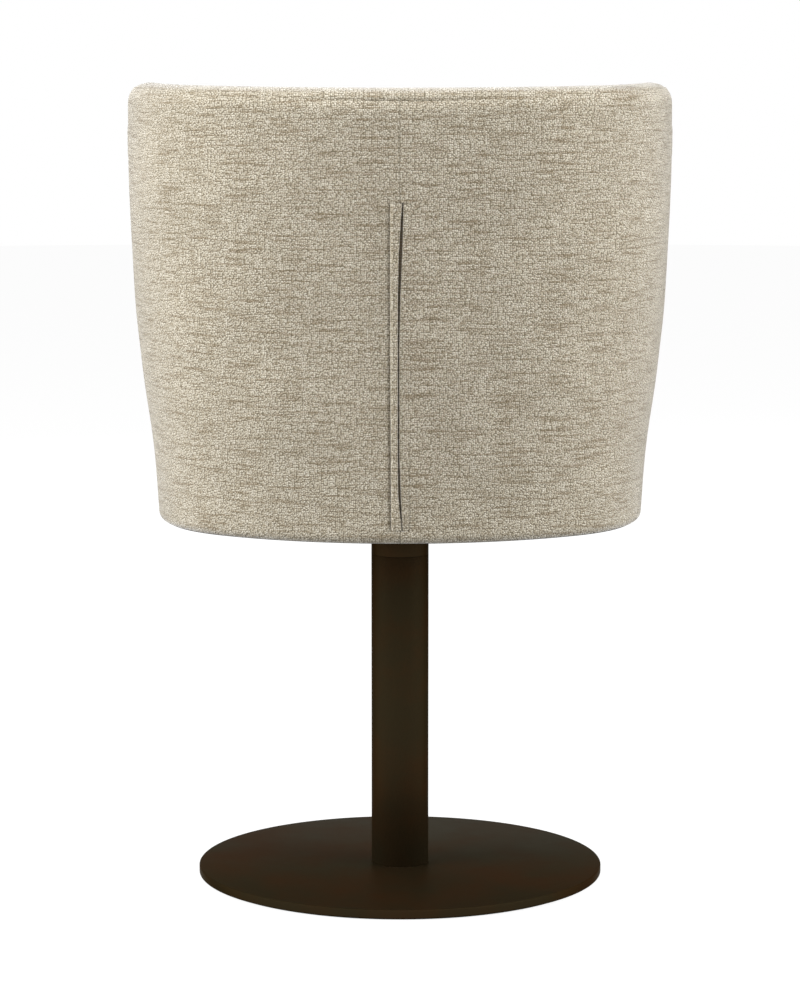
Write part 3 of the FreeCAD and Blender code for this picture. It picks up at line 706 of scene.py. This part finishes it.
@dataclass(frozen=True)
class PlatedSteel(Finish):
    """Bare or zinc-plated steel: grey metal with a fine drawn grain and small dull patches."""

    colour: str
    dull: str
    roughness: float

    def draw(self, nodes: Shading) -> dict:
        """The shader's inputs."""
        here = nodes.add("TexCoord").outputs["Object"]
        noise = {"Vector": here, "Scale": 160.0, "Detail": 4.0}
        patches, colour = self.mottled(nodes, noise, (0.42, 0.68), (self.colour, self.dull))
        rough = nodes.add("MapRange", span(patches, 0.3, 0.7, self.roughness, self.roughness + 0.15))
        _, relief = self.grained(nodes, {"Vector": here, "Scale": 2500.0, "Detail": 1.0}, 0.08)
        return {"Base Color": colour, "Metallic": 1.0, "Roughness": rough, "Normal": relief}


@dataclass(frozen=True)
class BareWood(Finish):
    """Unfinished wood: pale, dry and matt, with long grain lines and small pores."""

    early: str
    late: str
    grain: float

    def draw(self, nodes: Shading) -> dict:
        """The shader's inputs."""
        here = nodes.add("TexCoord").outputs["Object"]
        lines = (6.0, 1.0 / self.grain, 1.0 / self.grain)
        long = nodes.add("VectorMath", {0: here, 1: lines}, operation="MULTIPLY")
        noise = {"Vector": long, "Scale": 1.0, "Detail": 4.0, "Distortion": 0.4}
        rings, colour = self.mottled(nodes, noise, (0.38, 0.66), (self.early, self.late))
        relief = nodes.add("Bump", {"Strength": 0.2, "Distance": 0.0002, "Height": rings})
        return {"Base Color": colour, "Roughness": 0.72, "Normal": relief}


@dataclass(frozen=True)
class MouldedPlastic(Finish):
    """Moulded nylon or acetal: slightly milky, with the faint grain of its mould."""

    colour: str
    shade: str

    def draw(self, nodes: Shading) -> dict:
        """The shader's inputs."""
        here = nodes.add("TexCoord").outputs["Object"]
        grain, relief = self.grained(nodes, {"Vector": here, "Scale": 900.0, "Detail": 3.0}, 0.1)
        colour = nodes.add("Mix", {0: grain, "A": linear(self.colour), "B": linear(self.shade)},
                           data_type="RGBA")
        return {"Base Color": colour, "Roughness": 0.42, "Normal": relief}


@dataclass(frozen=True)
class PlainCloth(Finish):
    """Tape, webbing, felt or lining: matt yarn or fibre with a fine even texture."""

    colour: str
    shade: str
    thread: float
    relief: float

    def draw(self, nodes: Shading) -> dict:
        """The shader's inputs."""
        here = nodes.add("TexCoord").outputs["Object"]
        yarns = {"Vector": here, "Scale": math.pi / (10.0 * self.thread), "Distortion": 0.6}
        first, second, third = (nodes.add("TexWave", yarns, bands_direction=direction).outputs["Fac"]
                                for direction in "XYZ")
        pair = nodes.add("Math", {0: first, 1: second}, operation="MULTIPLY")
        woven = nodes.add("Math", {0: pair, 1: third}, operation="ADD")
        fibre = nodes.add("TexNoise", {"Vector": here, "Scale": 700.0, "Detail": 4.0})
        share = nodes.add("Math", {0: woven, 1: fibre}, operation="MULTIPLY")
        colour = nodes.add("Mix", {0: share, "A": linear(self.shade), "B": linear(self.colour)},
                           data_type="RGBA")
        relief = nodes.add("Bump", {"Strength": 0.6, "Distance": self.relief, "Height": share})
        return {"Base Color": colour, "Roughness": 0.95, "Specular IOR Level": 0.2, "Normal": relief,
                "Sheen Weight": 0.2}


def make_finishes() -> dict[str, Material]:
    """Every material slot of the record with its finish."""
    finishes = {
        "felt": PlainCloth("pressed_felt", "#242322", "#121211", 0.0011, 0.0002),
        "bronze_steel": PowderCoat(),
        "plain_steel": PowderCoat("black_paint", "#1B1B1C", "#222122", "#FFFFFF", 0.4, 0.45),
        "zinc_steel": PlatedSteel("zinc_plate", "#B9BABD", "#93959A", 0.28),
        "bearing_steel": PlatedSteel("ground_bearing_steel", "#A9A9AB", "#8C8C90", 0.18),
        "nylon": MouldedPlastic("natural_nylon", "#DAD7CA", "#C9C5B5"),
        "plywood": BareWood("birch_plywood", "#D9BE92", "#C09C69", 0.0012),
        "beech": BareWood("bare_beech", "#CFA77A", "#B98A5C", 0.0030),
        "webbing": PlainCloth("elastic_webbing", "#5C5344", "#332D24", 0.0022, 0.0005),
        "chenille": Chenille(),
        "dust_cloth": PlainCloth("black_lining", "#1C1C1D", "#0E0E0F", 0.0014, 0.0001),
        "zip_tape": PlainCloth("woven_tape", "#7A6C50", "#4F442F", 0.0009, 0.0002),
        "zip_plastic": MouldedPlastic("moulded_acetal", "#75664A", "#66583E"),
        "zip_metal": PlatedSteel("zinc_alloy", "#8C8372", "#736A5A", 0.35),
    }
    return {slot: finish.make() for slot, finish in finishes.items()}


@dataclass
class Dresser:
    """Gives every piece its finish, its body and the node that it stands for."""

    finishes: dict[str, Material]
    slots: dict[str, str] = field(default_factory=dict)
    bodies: dict[str, str] = field(default_factory=dict)

    def __post_init__(self) -> None:
        """Reads the slots and bodies from the record and dresses the CAD nodes."""
        record = frame["record"]
        self.slots = {part["node"]: part["material_slot"] for part in record["subparts"]}
        self.bodies = {node: body for body, nodes in record["behaviour"]["bodies"].items() for node in nodes}
        for node, cad in frame["nodes"].items():
            cad.data.materials.clear()
            cad.data.materials.append(self.finishes[self.slots[node]])

    def dress(self, piece: Object, node: str) -> Object:
        """Puts a new piece in the place of a node, with its finish.

        Args:
            piece: The finished piece.
            node: The node that it stands for.

        Returns:
            The piece.
        """
        piece.data.materials.clear()
        piece.data.materials.append(self.finishes[self.slots[node]])
        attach(piece, self.bodies[node])
        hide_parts(node)
        log.info("%s: %d faces", piece.name, len(piece.data.polygons))
        return piece


# Sub-assemblies


@dataclass(frozen=True)
class Base:
    """The disc on its felt, and the post."""

    felt_radius: float = 0.202
    felt: float = 0.002
    felt_lean: tuple[float, float, float] = (0.0004, 0.0008, 0.0003)
    disc_radius: float = 0.208
    disc: float = 0.009
    rim_ease: float = 0.0010
    disc_ease: float = 0.0005
    post_radius: float = 0.0294
    post_wall: float = 0.0025
    post_top: float = 0.334
    collar: float = 0.017
    collar_ease: float = 0.0003
    spigot: float = 0.022
    spigot_play: float = 0.00005
    sleeve: float = 0.140
    sleeve_radius: float = 0.020
    bore: float = 0.01561
    ease: float = 0.0002
    facets: int = 160
    disc_facets: int = 256

    def build(self, dresser: Dresser) -> None:
        """Models and dresses the pieces."""
        felt = dresser.dress(self.make_felt(), "floor_pad")
        dresser.dress(self.make_disc(), "base_disc")
        dresser.dress(self.make_post(), "column_tube")
        dresser.dress(self.make_sleeve(), "bearing_sleeve")

    def make_felt(self) -> Object:
        """The felt under the disc, its edge slightly crushed."""
        under, rise, over = self.felt_lean
        profile = [(0.0, 0.0), (self.felt_radius - under, 0.0), (self.felt_radius, rise),
                   (self.felt_radius - over, self.felt), (0.0, self.felt)]
        return turned("felt_ring", profile, self.facets, self.ease)

    def make_disc(self) -> Object:
        """The flat disc with its broken edges."""
        low = self.felt
        high = low + self.disc
        inner = self.disc_radius - self.rim_ease
        profile = [(0.0, low), (inner, low), (self.disc_radius, low + self.rim_ease),
                   (self.disc_radius, high - self.rim_ease), (inner, high), (0.0, high)]
        return turned("disc_plate", profile, self.disc_facets, self.disc_ease)

    def make_post(self) -> Object:
        """The post, an open tube."""
        low = self.felt + self.disc
        inner = self.post_radius - self.post_wall
        top = self.post_top
        profile = [(inner, low), (self.post_radius, low), (self.post_radius, top), (inner, top)]
        return turned("post_tube", profile, self.facets, self.ease)

    def make_sleeve(self) -> Object:
        """The bearing's housing: a collar as wide as the post, its spigot and the long sleeve."""
        top = self.post_top + self.collar
        spigot = self.post_radius - self.post_wall - self.spigot_play
        under = self.post_top - self.spigot
        ease = self.collar_ease
        profile = [(self.bore, top - self.sleeve), (self.sleeve_radius, top - self.sleeve),
                   (self.sleeve_radius, under), (spigot, under), (spigot, self.post_top),
                   (self.post_radius - ease, self.post_top), (self.post_radius, self.post_top + ease),
                   (self.post_radius, top - ease), (self.post_radius - ease, top), (self.bore, top)]
        return turned("bearing_housing", profile, self.facets, self.ease)


@dataclass(frozen=True)
class Lip:
    """How proud one lip of the placket stands, how its edge dips, and the cover's groove beside it."""

    proud: float
    edge_dip: float
    groove: float


@dataclass(frozen=True)
class Back:
    """The padded back: two outside covers, the placket over the zip and the inside pad with its rolled rim."""

    form: WallForm
    seat: SeatForm
    cloth: float = 0.0026
    hem_round: float = 0.009
    hem_turn: float = 0.024
    seam_middle: float = 0.0127
    seam_side: float = 0.0050
    seam_spread: float = 0.150
    seam_roll: float = 0.0026
    seam_dips: tuple[float, float] = (0.0005, 0.0019)
    dip_spread: float = 0.11
    centre_roll: float = 0.0016
    centre_dip: float = 0.0009
    channel: float = 0.0093
    channel_roll: float = 0.0026
    zip_low: float = 0.394
    zip_high: float = 0.710
    under_top: float = 0.02
    cover_grid: tuple[int, int] = (104, 92)
    cover_rows: tuple[float, ...] = (0.0, 16.0, 75.0, 77.0)
    under_row: float = 85.0
    near_share: float = 0.17
    near_reach: float = 0.0135
    lips: tuple[Lip, Lip] = (Lip(0.0017, 0.0014, 0.0017), Lip(0.0003, 0.0005, 0.0004))
    lip_cloth: float = 0.0018
    lip_grid: tuple[int, int] = (20, 120)
    lip_play: float = 0.0003
    lip_sink: float = 0.0002
    fold: float = 0.0016
    fold_share: float = 0.3
    fold_depth: float = 1.6
    edge_share: float = 0.22
    end_share: float = 0.03
    end_dip: float = 0.0006
    slit_levels: tuple[float, ...] = (0.394, 0.41, 0.43, 0.47, 0.57, 0.62, 0.66, 0.695, 0.710)
    slit_middles: tuple[float, ...] = (-0.0022, -0.0008, 0.0006, 0.0014, 0.0014, 0.0008, -0.0004, -0.0018,
                                       -0.0026)
    slit_halves: tuple[float, ...] = (0.0001, 0.0006, 0.0011, 0.0004, 0.0004, 0.0009, 0.0014, 0.0009, 0.0001)
    tape_cloth: float = 0.0007
    tape_grid: tuple[int, int] = (6, 60)
    tape_depth: float = 0.0065
    tape_play: float = 0.0006
    frame_levels: tuple[float, float] = (0.70, 0.79)
    frame_share: float = 0.0125
    rim_level: float = 0.775
    rim_rise: float = 0.015
    pad_held: float = 0.038
    pad_loose: float = 0.034
    pad_blend: float = 0.014
    pad_swell: float = 0.007

    def build(self, dresser: Dresser) -> None:
        """Models and dresses the pieces."""
        for hand in Hand:
            cover = dresser.dress(self.make_cover(hand), f"outside_cover_{hand.word}")
            lip = dresser.dress(self.make_lip(hand), f"placket_{hand.word}")
            dresser.dress(self.make_tape(hand), f"zip_tape_{hand.word}")
        dresser.dress(self.make_shell(), "back_shell")
        pad = dresser.dress(self.make_pad(), "inside_back_pad")

    def lip_of(self, hand: Hand) -> Lip:
        """One side's lip."""
        return self.lips[0] if hand is Hand.LEFT else self.lips[1]

    def seam_inset(self, along: np.ndarray) -> np.ndarray:
        """How far under the top line the cover's seam lies: furthest at the centre back."""
        near = np.exp(-(along / self.seam_spread) ** 2)
        return self.seam_side + (self.seam_middle - self.seam_side) * near

    def make_cover(self, hand: Hand) -> Object:
        """One outside cover: down from the rim seam, round the hem and in under the seat.

        Args:
            hand: The side that it covers.

        Returns:
            The cover, with its cloth's thickness.
        """
        form = self.form
        end = form.length - self.seam_side
        columns, rows = self.cover_grid
        hem_share, under_share = self.cover_rows[-1] / rows, self.under_row / rows
        centre_top = float(form.highest(np.array([form.low_half]), np.array([self.seam_middle]))[0])
        level = form.hem + self.hem_round
        drop = centre_top - form.hem - self.hem_round
        row_shares = [row / rows for row in self.cover_rows]
        row_drops = [0.0, (centre_top - self.zip_high) / drop, (centre_top - self.zip_low) / drop, 1.0]

        def shape(across: np.ndarray, up: np.ndarray) -> np.ndarray:
            along = np.interp(across, [0.0, self.near_share, 1.0], [HAIR, self.near_reach, end])
            share = 1.0 - up
            middle = form.place(along, np.zeros_like(along), np.full_like(along, form.top - self.under_top))
            inset = self.seam_inset(along)
            highest = form.highest(middle[:, 1], inset)
            z = highest + (level - highest) * np.interp(share, row_shares, row_drops)
            around = np.clip((share - hem_share) / (under_share - hem_share), 0.0, 1.0) * math.pi / 2.0
            inwards = np.clip((share - under_share) / (1.0 - under_share), 0.0, 1.0) * self.hem_turn
            z = z - self.hem_round * np.sin(around)
            rough = form.place(along, np.zeros_like(along), z)
            distance = form.inside(rough[:, 1], z)
            depth = np.where(share > hem_share, 0.0, form.eased(distance))
            depth = depth + self.hem_round * (1.0 - np.cos(around)) + inwards
            tuck = np.clip(1.0 - (distance - inset) / self.seam_roll, 0.0, 1.0)
            least, more = self.seam_dips
            firm = least + more * np.exp(-(along / self.dip_spread) ** 2)
            depth = depth + firm * tuck ** 2 * (share < hem_share)
            centre = np.clip(1.0 - along / self.centre_roll, 0.0, 1.0)
            depth = depth + self.centre_dip * centre ** 2
            edge = np.clip(1.0 - np.abs(along - self.channel) / self.channel_roll, 0.0, 1.0)
            in_zip = (z > self.zip_low - HAIR) & (z < self.zip_high + HAIR)
            depth = depth + self.lip_of(hand).groove * edge * in_zip
            return form.place(along * hand.value, depth, z)

        piece = blank(f"cover_{hand.word}", columns, rows, shape)
        self.open_channel(piece)
        turn_outwards(piece, lambda spots: form.read(spots)[2])
        finish_modifier(piece, "SUBSURF", levels=1, render_levels=1)
        finish_modifier(piece, "SOLIDIFY", thickness=self.cloth, offset=-1.0)
        finish_cloth(piece, CRISP_ANGLE, Weave.WALL, form, self.seat)
        return piece

    def open_channel(self, piece: Object) -> None:
        """Takes the cloth out where the placket's lips lie."""
        select_only(piece)
        spots = places(piece.data)
        along, _, _ = self.form.read(spots)
        levels = spots[:, 2]
        bpy.ops.object.mode_set(mode="EDIT")
        bpy.ops.mesh.select_mode(type="FACE")
        bpy.ops.mesh.select_all(action="DESELECT")
        bpy.ops.object.mode_set(mode="OBJECT")
        for polygon in piece.data.polygons:
            corners = list(polygon.vertices)
            near = np.abs(along[corners]).max() < self.channel + HAIR
            above = levels[corners].min() > self.zip_low - HAIR
            polygon.select = bool(near and above and levels[corners].max() < self.zip_high + HAIR)
        bpy.ops.object.mode_set(mode="EDIT")
        bpy.ops.mesh.delete(type="FACE")
        bpy.ops.object.mode_set(mode="OBJECT")

    def make_lip(self, hand: Hand) -> Object:
        """One folded lip of the placket, rounded over at the slit, whose middle wanders.

        Args:
            hand: The side that it closes.

        Returns:
            The lip, with its cloth's thickness.
        """
        form = self.form
        own = self.lip_of(hand)
        low, high = self.zip_low + self.lip_play, self.zip_high - self.lip_play
        outer = self.channel - self.lip_sink

        def shape(across: np.ndarray, up: np.ndarray) -> np.ndarray:
            z = low + (high - low) * up
            middle = np.interp(z, self.slit_levels, self.slit_middles)
            inner = np.interp(z, self.slit_levels, self.slit_halves) + hand.value * middle
            bend = np.clip(across / self.fold_share, 0.0, 1.0) * math.pi / 2.0
            flat = np.clip((across - self.fold_share) / (1.0 - self.fold_share), 0.0, 1.0)
            along = inner + self.fold * (1.0 - np.cos(bend)) + (outer - inner - self.fold) * flat
            depth = self.lip_sink + self.fold * self.fold_depth * (1.0 - np.sin(bend))
            depth = depth - own.proud * np.sin(math.pi * flat)
            edge = np.clip((flat - 1.0 + self.edge_share) / self.edge_share, 0.0, 1.0)
            depth = depth + own.edge_dip * edge ** 2
            ends = np.clip(1.0 - np.minimum(up, 1.0 - up) / self.end_share, 0.0, 1.0)
            depth = depth + self.end_dip * ends ** 2
            return form.place(along * hand.value, depth, z)

        piece = blank(f"lip_{hand.word}", *self.lip_grid, shape)
        turn_outwards(piece, lambda spots: form.read(spots)[2])
        finish_modifier(piece, "SOLIDIFY", thickness=self.lip_cloth, offset=-1.0)
        finish_cloth(piece, CRISP_ANGLE, Weave.WALL, form, self.seat)
        return piece

    def make_tape(self, hand: Hand) -> Object:
        """One of the zip's tapes, from its teeth to the placket's seam."""
        form = self.form
        low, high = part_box(f"zip_tape_{hand.word}")
        near, far = sorted((abs(low.x), abs(high.x)))
        foot = self.zip_low + self.tape_play
        length = self.zip_high - self.zip_low - 2.0 * self.tape_play

        def shape(across: np.ndarray, up: np.ndarray) -> np.ndarray:
            z = foot + length * up
            along = near + (far - near) * across
            return form.place(along * hand.value, np.full_like(z, self.tape_depth), z)

        piece = blank(f"tape_{hand.word}", *self.tape_grid, shape)
        turn_outwards(piece, lambda spots: form.read(spots)[2])
        finish_modifier(piece, "SOLIDIFY", thickness=self.tape_cloth, offset=-1.0)
        smooth(piece)
        return piece

    def slim_rim(self, piece: Object, loose: np.ndarray) -> None:
        """Draws a copy of the frame or the pad in, so that it stays under the slimmer cover.

        Args:
            piece: The copy.
            loose: For each vertex, how far it follows the cover's rim rather than the frame.
        """
        spots = places(piece.data)
        y, z = spots[:, 1], spots[:, 2]
        frame_share = np.interp(z, self.frame_levels, (0.0, self.frame_share)) * self.form.towards_rear(y)
        over = loose * np.clip((z - self.rim_level) / self.rim_rise, 0.0, 1.0)
        spots[:, 0] *= 1.0 - frame_share - (self.form.slimming(y, z) - frame_share) * over
        set_places(piece.data, spots)

    def make_shell(self) -> Object:
        """The moulded frame inside, drawn in a little at its top."""
        piece = merged_copy("back_shell", "shell")
        self.slim_rim(piece, np.zeros(len(piece.data.vertices)))
        smooth(piece)
        return piece

    def make_pad(self) -> Object:
        """The inside pad with its roll over the rim, filled so that its face swells."""
        piece = merged_copy("inside_back_pad", "back_pad")
        remesh(piece, voxel=0.0055, passes=6)
        _, depth, _ = self.form.read(places(piece.data))
        held = np.clip((self.pad_held - depth) / self.pad_blend, 0.0, 1.0)
        swell(piece, self.pad_swell, held)
        self.slim_rim(piece, np.clip((self.pad_loose - depth) / self.pad_blend, 0.0, 1.0))
        finish_modifier(piece, "SMOOTH", factor=0.5, iterations=3)
        finish_modifier(piece, "SUBSURF", levels=1, render_levels=1)
        finish_cloth(piece, SOFT_ANGLE, Weave.WALL, self.form, self.seat)
        return piece


@dataclass(frozen=True)
class Seat:
    """The cushion, the band round the front, the lining under it and the webbing."""

    form: WallForm
    outline: SeatForm
    tuck: float = 0.0036
    cushion_foot: float = 0.012
    cushion_swell: float = 0.008

    def build(self, dresser: Dresser) -> None:
        """Models and dresses the pieces."""
        cushion = dresser.dress(self.make_cushion(), "seat_cushion")
        band = dresser.dress(self.make_band(), "seat_band")
        lining = self.plain_copy(dresser, "dust_cover", "lining")
        for axis, node in enumerate(("webbing_across", "webbing_along")):
            straps = self.plain_copy(dresser, node, f"{node}_straps")

    def plain_copy(self, dresser: Dresser, node: str, name: str) -> Object:
        """A dressed copy of a node that keeps its shape."""
        piece = merged_copy(node, name)
        smooth(piece)
        return dresser.dress(piece, node)

    def make_cushion(self) -> Object:
        """The crowned seat cushion."""
        piece = merged_copy("seat_cushion", "cushion")
        remesh(piece, voxel=0.006, passes=5)
        level = places(piece.data)[:, 2]
        held = np.clip(1.0 - (level - level.min()) / self.cushion_foot, 0.0, 1.0)
        swell(piece, self.cushion_swell, held)
        finish_modifier(piece, "SUBSURF", levels=1, render_levels=1)
        finish_cloth(piece, SOFT_ANGLE, Weave.SEAT, self.form, self.outline)
        return piece

    def make_band(self) -> Object:
        """The padded band round the seat's front, stretched into the joints above and behind it."""
        piece = merged_copy("seat_band", "front_band")
        remesh(piece, voxel=0.0035, passes=3)
        low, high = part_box("seat_band")
        spots = places(piece.data)
        for axis, beyond in enumerate((0.0, self.tuck, self.tuck)):
            first, last = spots[:, axis].min(), spots[:, axis].max()
            share = (spots[:, axis] - first) / (last - first)
            spots[:, axis] = low[axis] + share * (high[axis] + beyond - low[axis])
        set_places(piece.data, spots)
        finish_cloth(piece, SOFT_ANGLE, Weave.SEAT, self.form, self.outline)
        return piece


@dataclass(frozen=True)
class Lamp:
    """A square soft lamp that looks at the chair's back."""

    name: str
    place: tuple[float, float, float]
    power: float
    size: float

    def add(self, target: tuple[float, float, float]) -> None:
        """Hangs the lamp, turned to its target and unseen in reflections."""
        data = bpy.data.lights.new(self.name, "AREA")
        data.energy = self.power
        data.size = self.size
        lamp = bpy.data.objects.new(self.name, data)
        lamp.location = self.place
        aim = np.array(target) - np.array(self.place)
        tilt = math.acos(-aim[2] / np.linalg.norm(aim))
        lamp.rotation_euler = (-tilt, 0.0, math.atan2(aim[0], -aim[1]))
        lamp.visible_glossy = False
        bpy.context.scene.collection.objects.link(lamp)


@dataclass(frozen=True)
class Studio:
    """The camera, the floor and the light. The camera stands behind the chair, at the photograph's angle."""

    camera_place: tuple[float, float, float] = (0.0, 3.8, 0.9273)
    pitch: float = 8.06
    lens: float = 134.85
    sight: float = 60.0
    floor_radius: float = 9.0
    floor_share: float = 0.78
    floor_glow: float = 1.13
    floor_shades: tuple[float, float] = (0.30, 0.82)
    ambient: float = 0.48
    target: tuple[float, float, float] = (0.0, 0.0, 0.5)
    lamps: tuple[Lamp, ...] = (
        Lamp("lamp_left", (2.4, 0.9, 1.3), 100.0, 1.6),
        Lamp("lamp_right", (-2.4, 0.9, 1.3), 80.0, 1.6),
        Lamp("lamp_top", (0.0, 0.8, 2.8), 35.0, 1.8),
        Lamp("lamp_front", (0.9, -2.6, 1.9), 34.0, 1.4),
    )

    def build(self) -> None:
        """Sets up the whole studio."""
        self.add_camera()
        self.add_floor()
        self.add_surround()
        for lamp in self.lamps:
            lamp.add(self.target)

    def add_camera(self) -> None:
        """The camera at the photograph's viewing angle."""
        data = bpy.data.cameras.new("camera")
        data.lens = self.lens
        data.clip_end = self.sight
        camera = bpy.data.objects.new("camera", data)
        camera.location = self.camera_place
        camera.rotation_euler = (math.radians(90.0 - self.pitch), 0.0, math.pi)
        bpy.context.scene.collection.objects.link(camera)
        bpy.context.scene.camera = camera

    def add_floor(self) -> None:
        """A pale floor that the camera sees as white, with the chair's soft shadow kept."""
        bpy.ops.object.select_all(action="DESELECT")
        bpy.ops.mesh.primitive_circle_add(vertices=96, radius=self.floor_radius, fill_type="NGON")
        floor = newest("floor")
        material = bpy.data.materials.new("white_floor")
        nodes = Shading(material)
        seen = nodes.seen_plainly()
        share = nodes.add("Math", {0: seen, 1: self.floor_share}, operation="MULTIPLY")
        shade = nodes.add("MapRange", span(seen, 0.0, 1.0, *self.floor_shades))
        matt = nodes.add("BsdfDiffuse", {"Color": shade})
        glow = nodes.add("Emission", {"Color": WHITE, "Strength": self.floor_glow})
        both = nodes.add("MixShader", {0: share, 1: matt, 2: glow})
        nodes.add("OutputMaterial", {"Surface": both})
        floor.data.materials.append(material)

    def add_surround(self) -> None:
        """An even surround, seen as white and dimmer as a light."""
        world = bpy.data.worlds.new("surround")
        nodes = Shading(world)
        strength = nodes.add("MapRange", span(nodes.seen_plainly(), 0.0, 1.0, self.ambient, 1.0))
        light = nodes.add("Background", {"Color": WHITE, "Strength": strength})
        nodes.add("OutputWorld", {"Surface": light})
        bpy.context.scene.world = world


def main() -> None:
    """Builds and dresses the chair, then the studio."""
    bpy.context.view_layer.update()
    bpy.context.scene.view_settings.view_transform = "Standard"
    wall = WallForm()
    outline = SeatForm()
    dresser = Dresser(make_finishes())
    Base().build(dresser)
    Back(wall, outline).build(dresser)
    Seat(wall, outline).build(dresser)
    Studio().build()


if __name__ == "__main__":
    main()
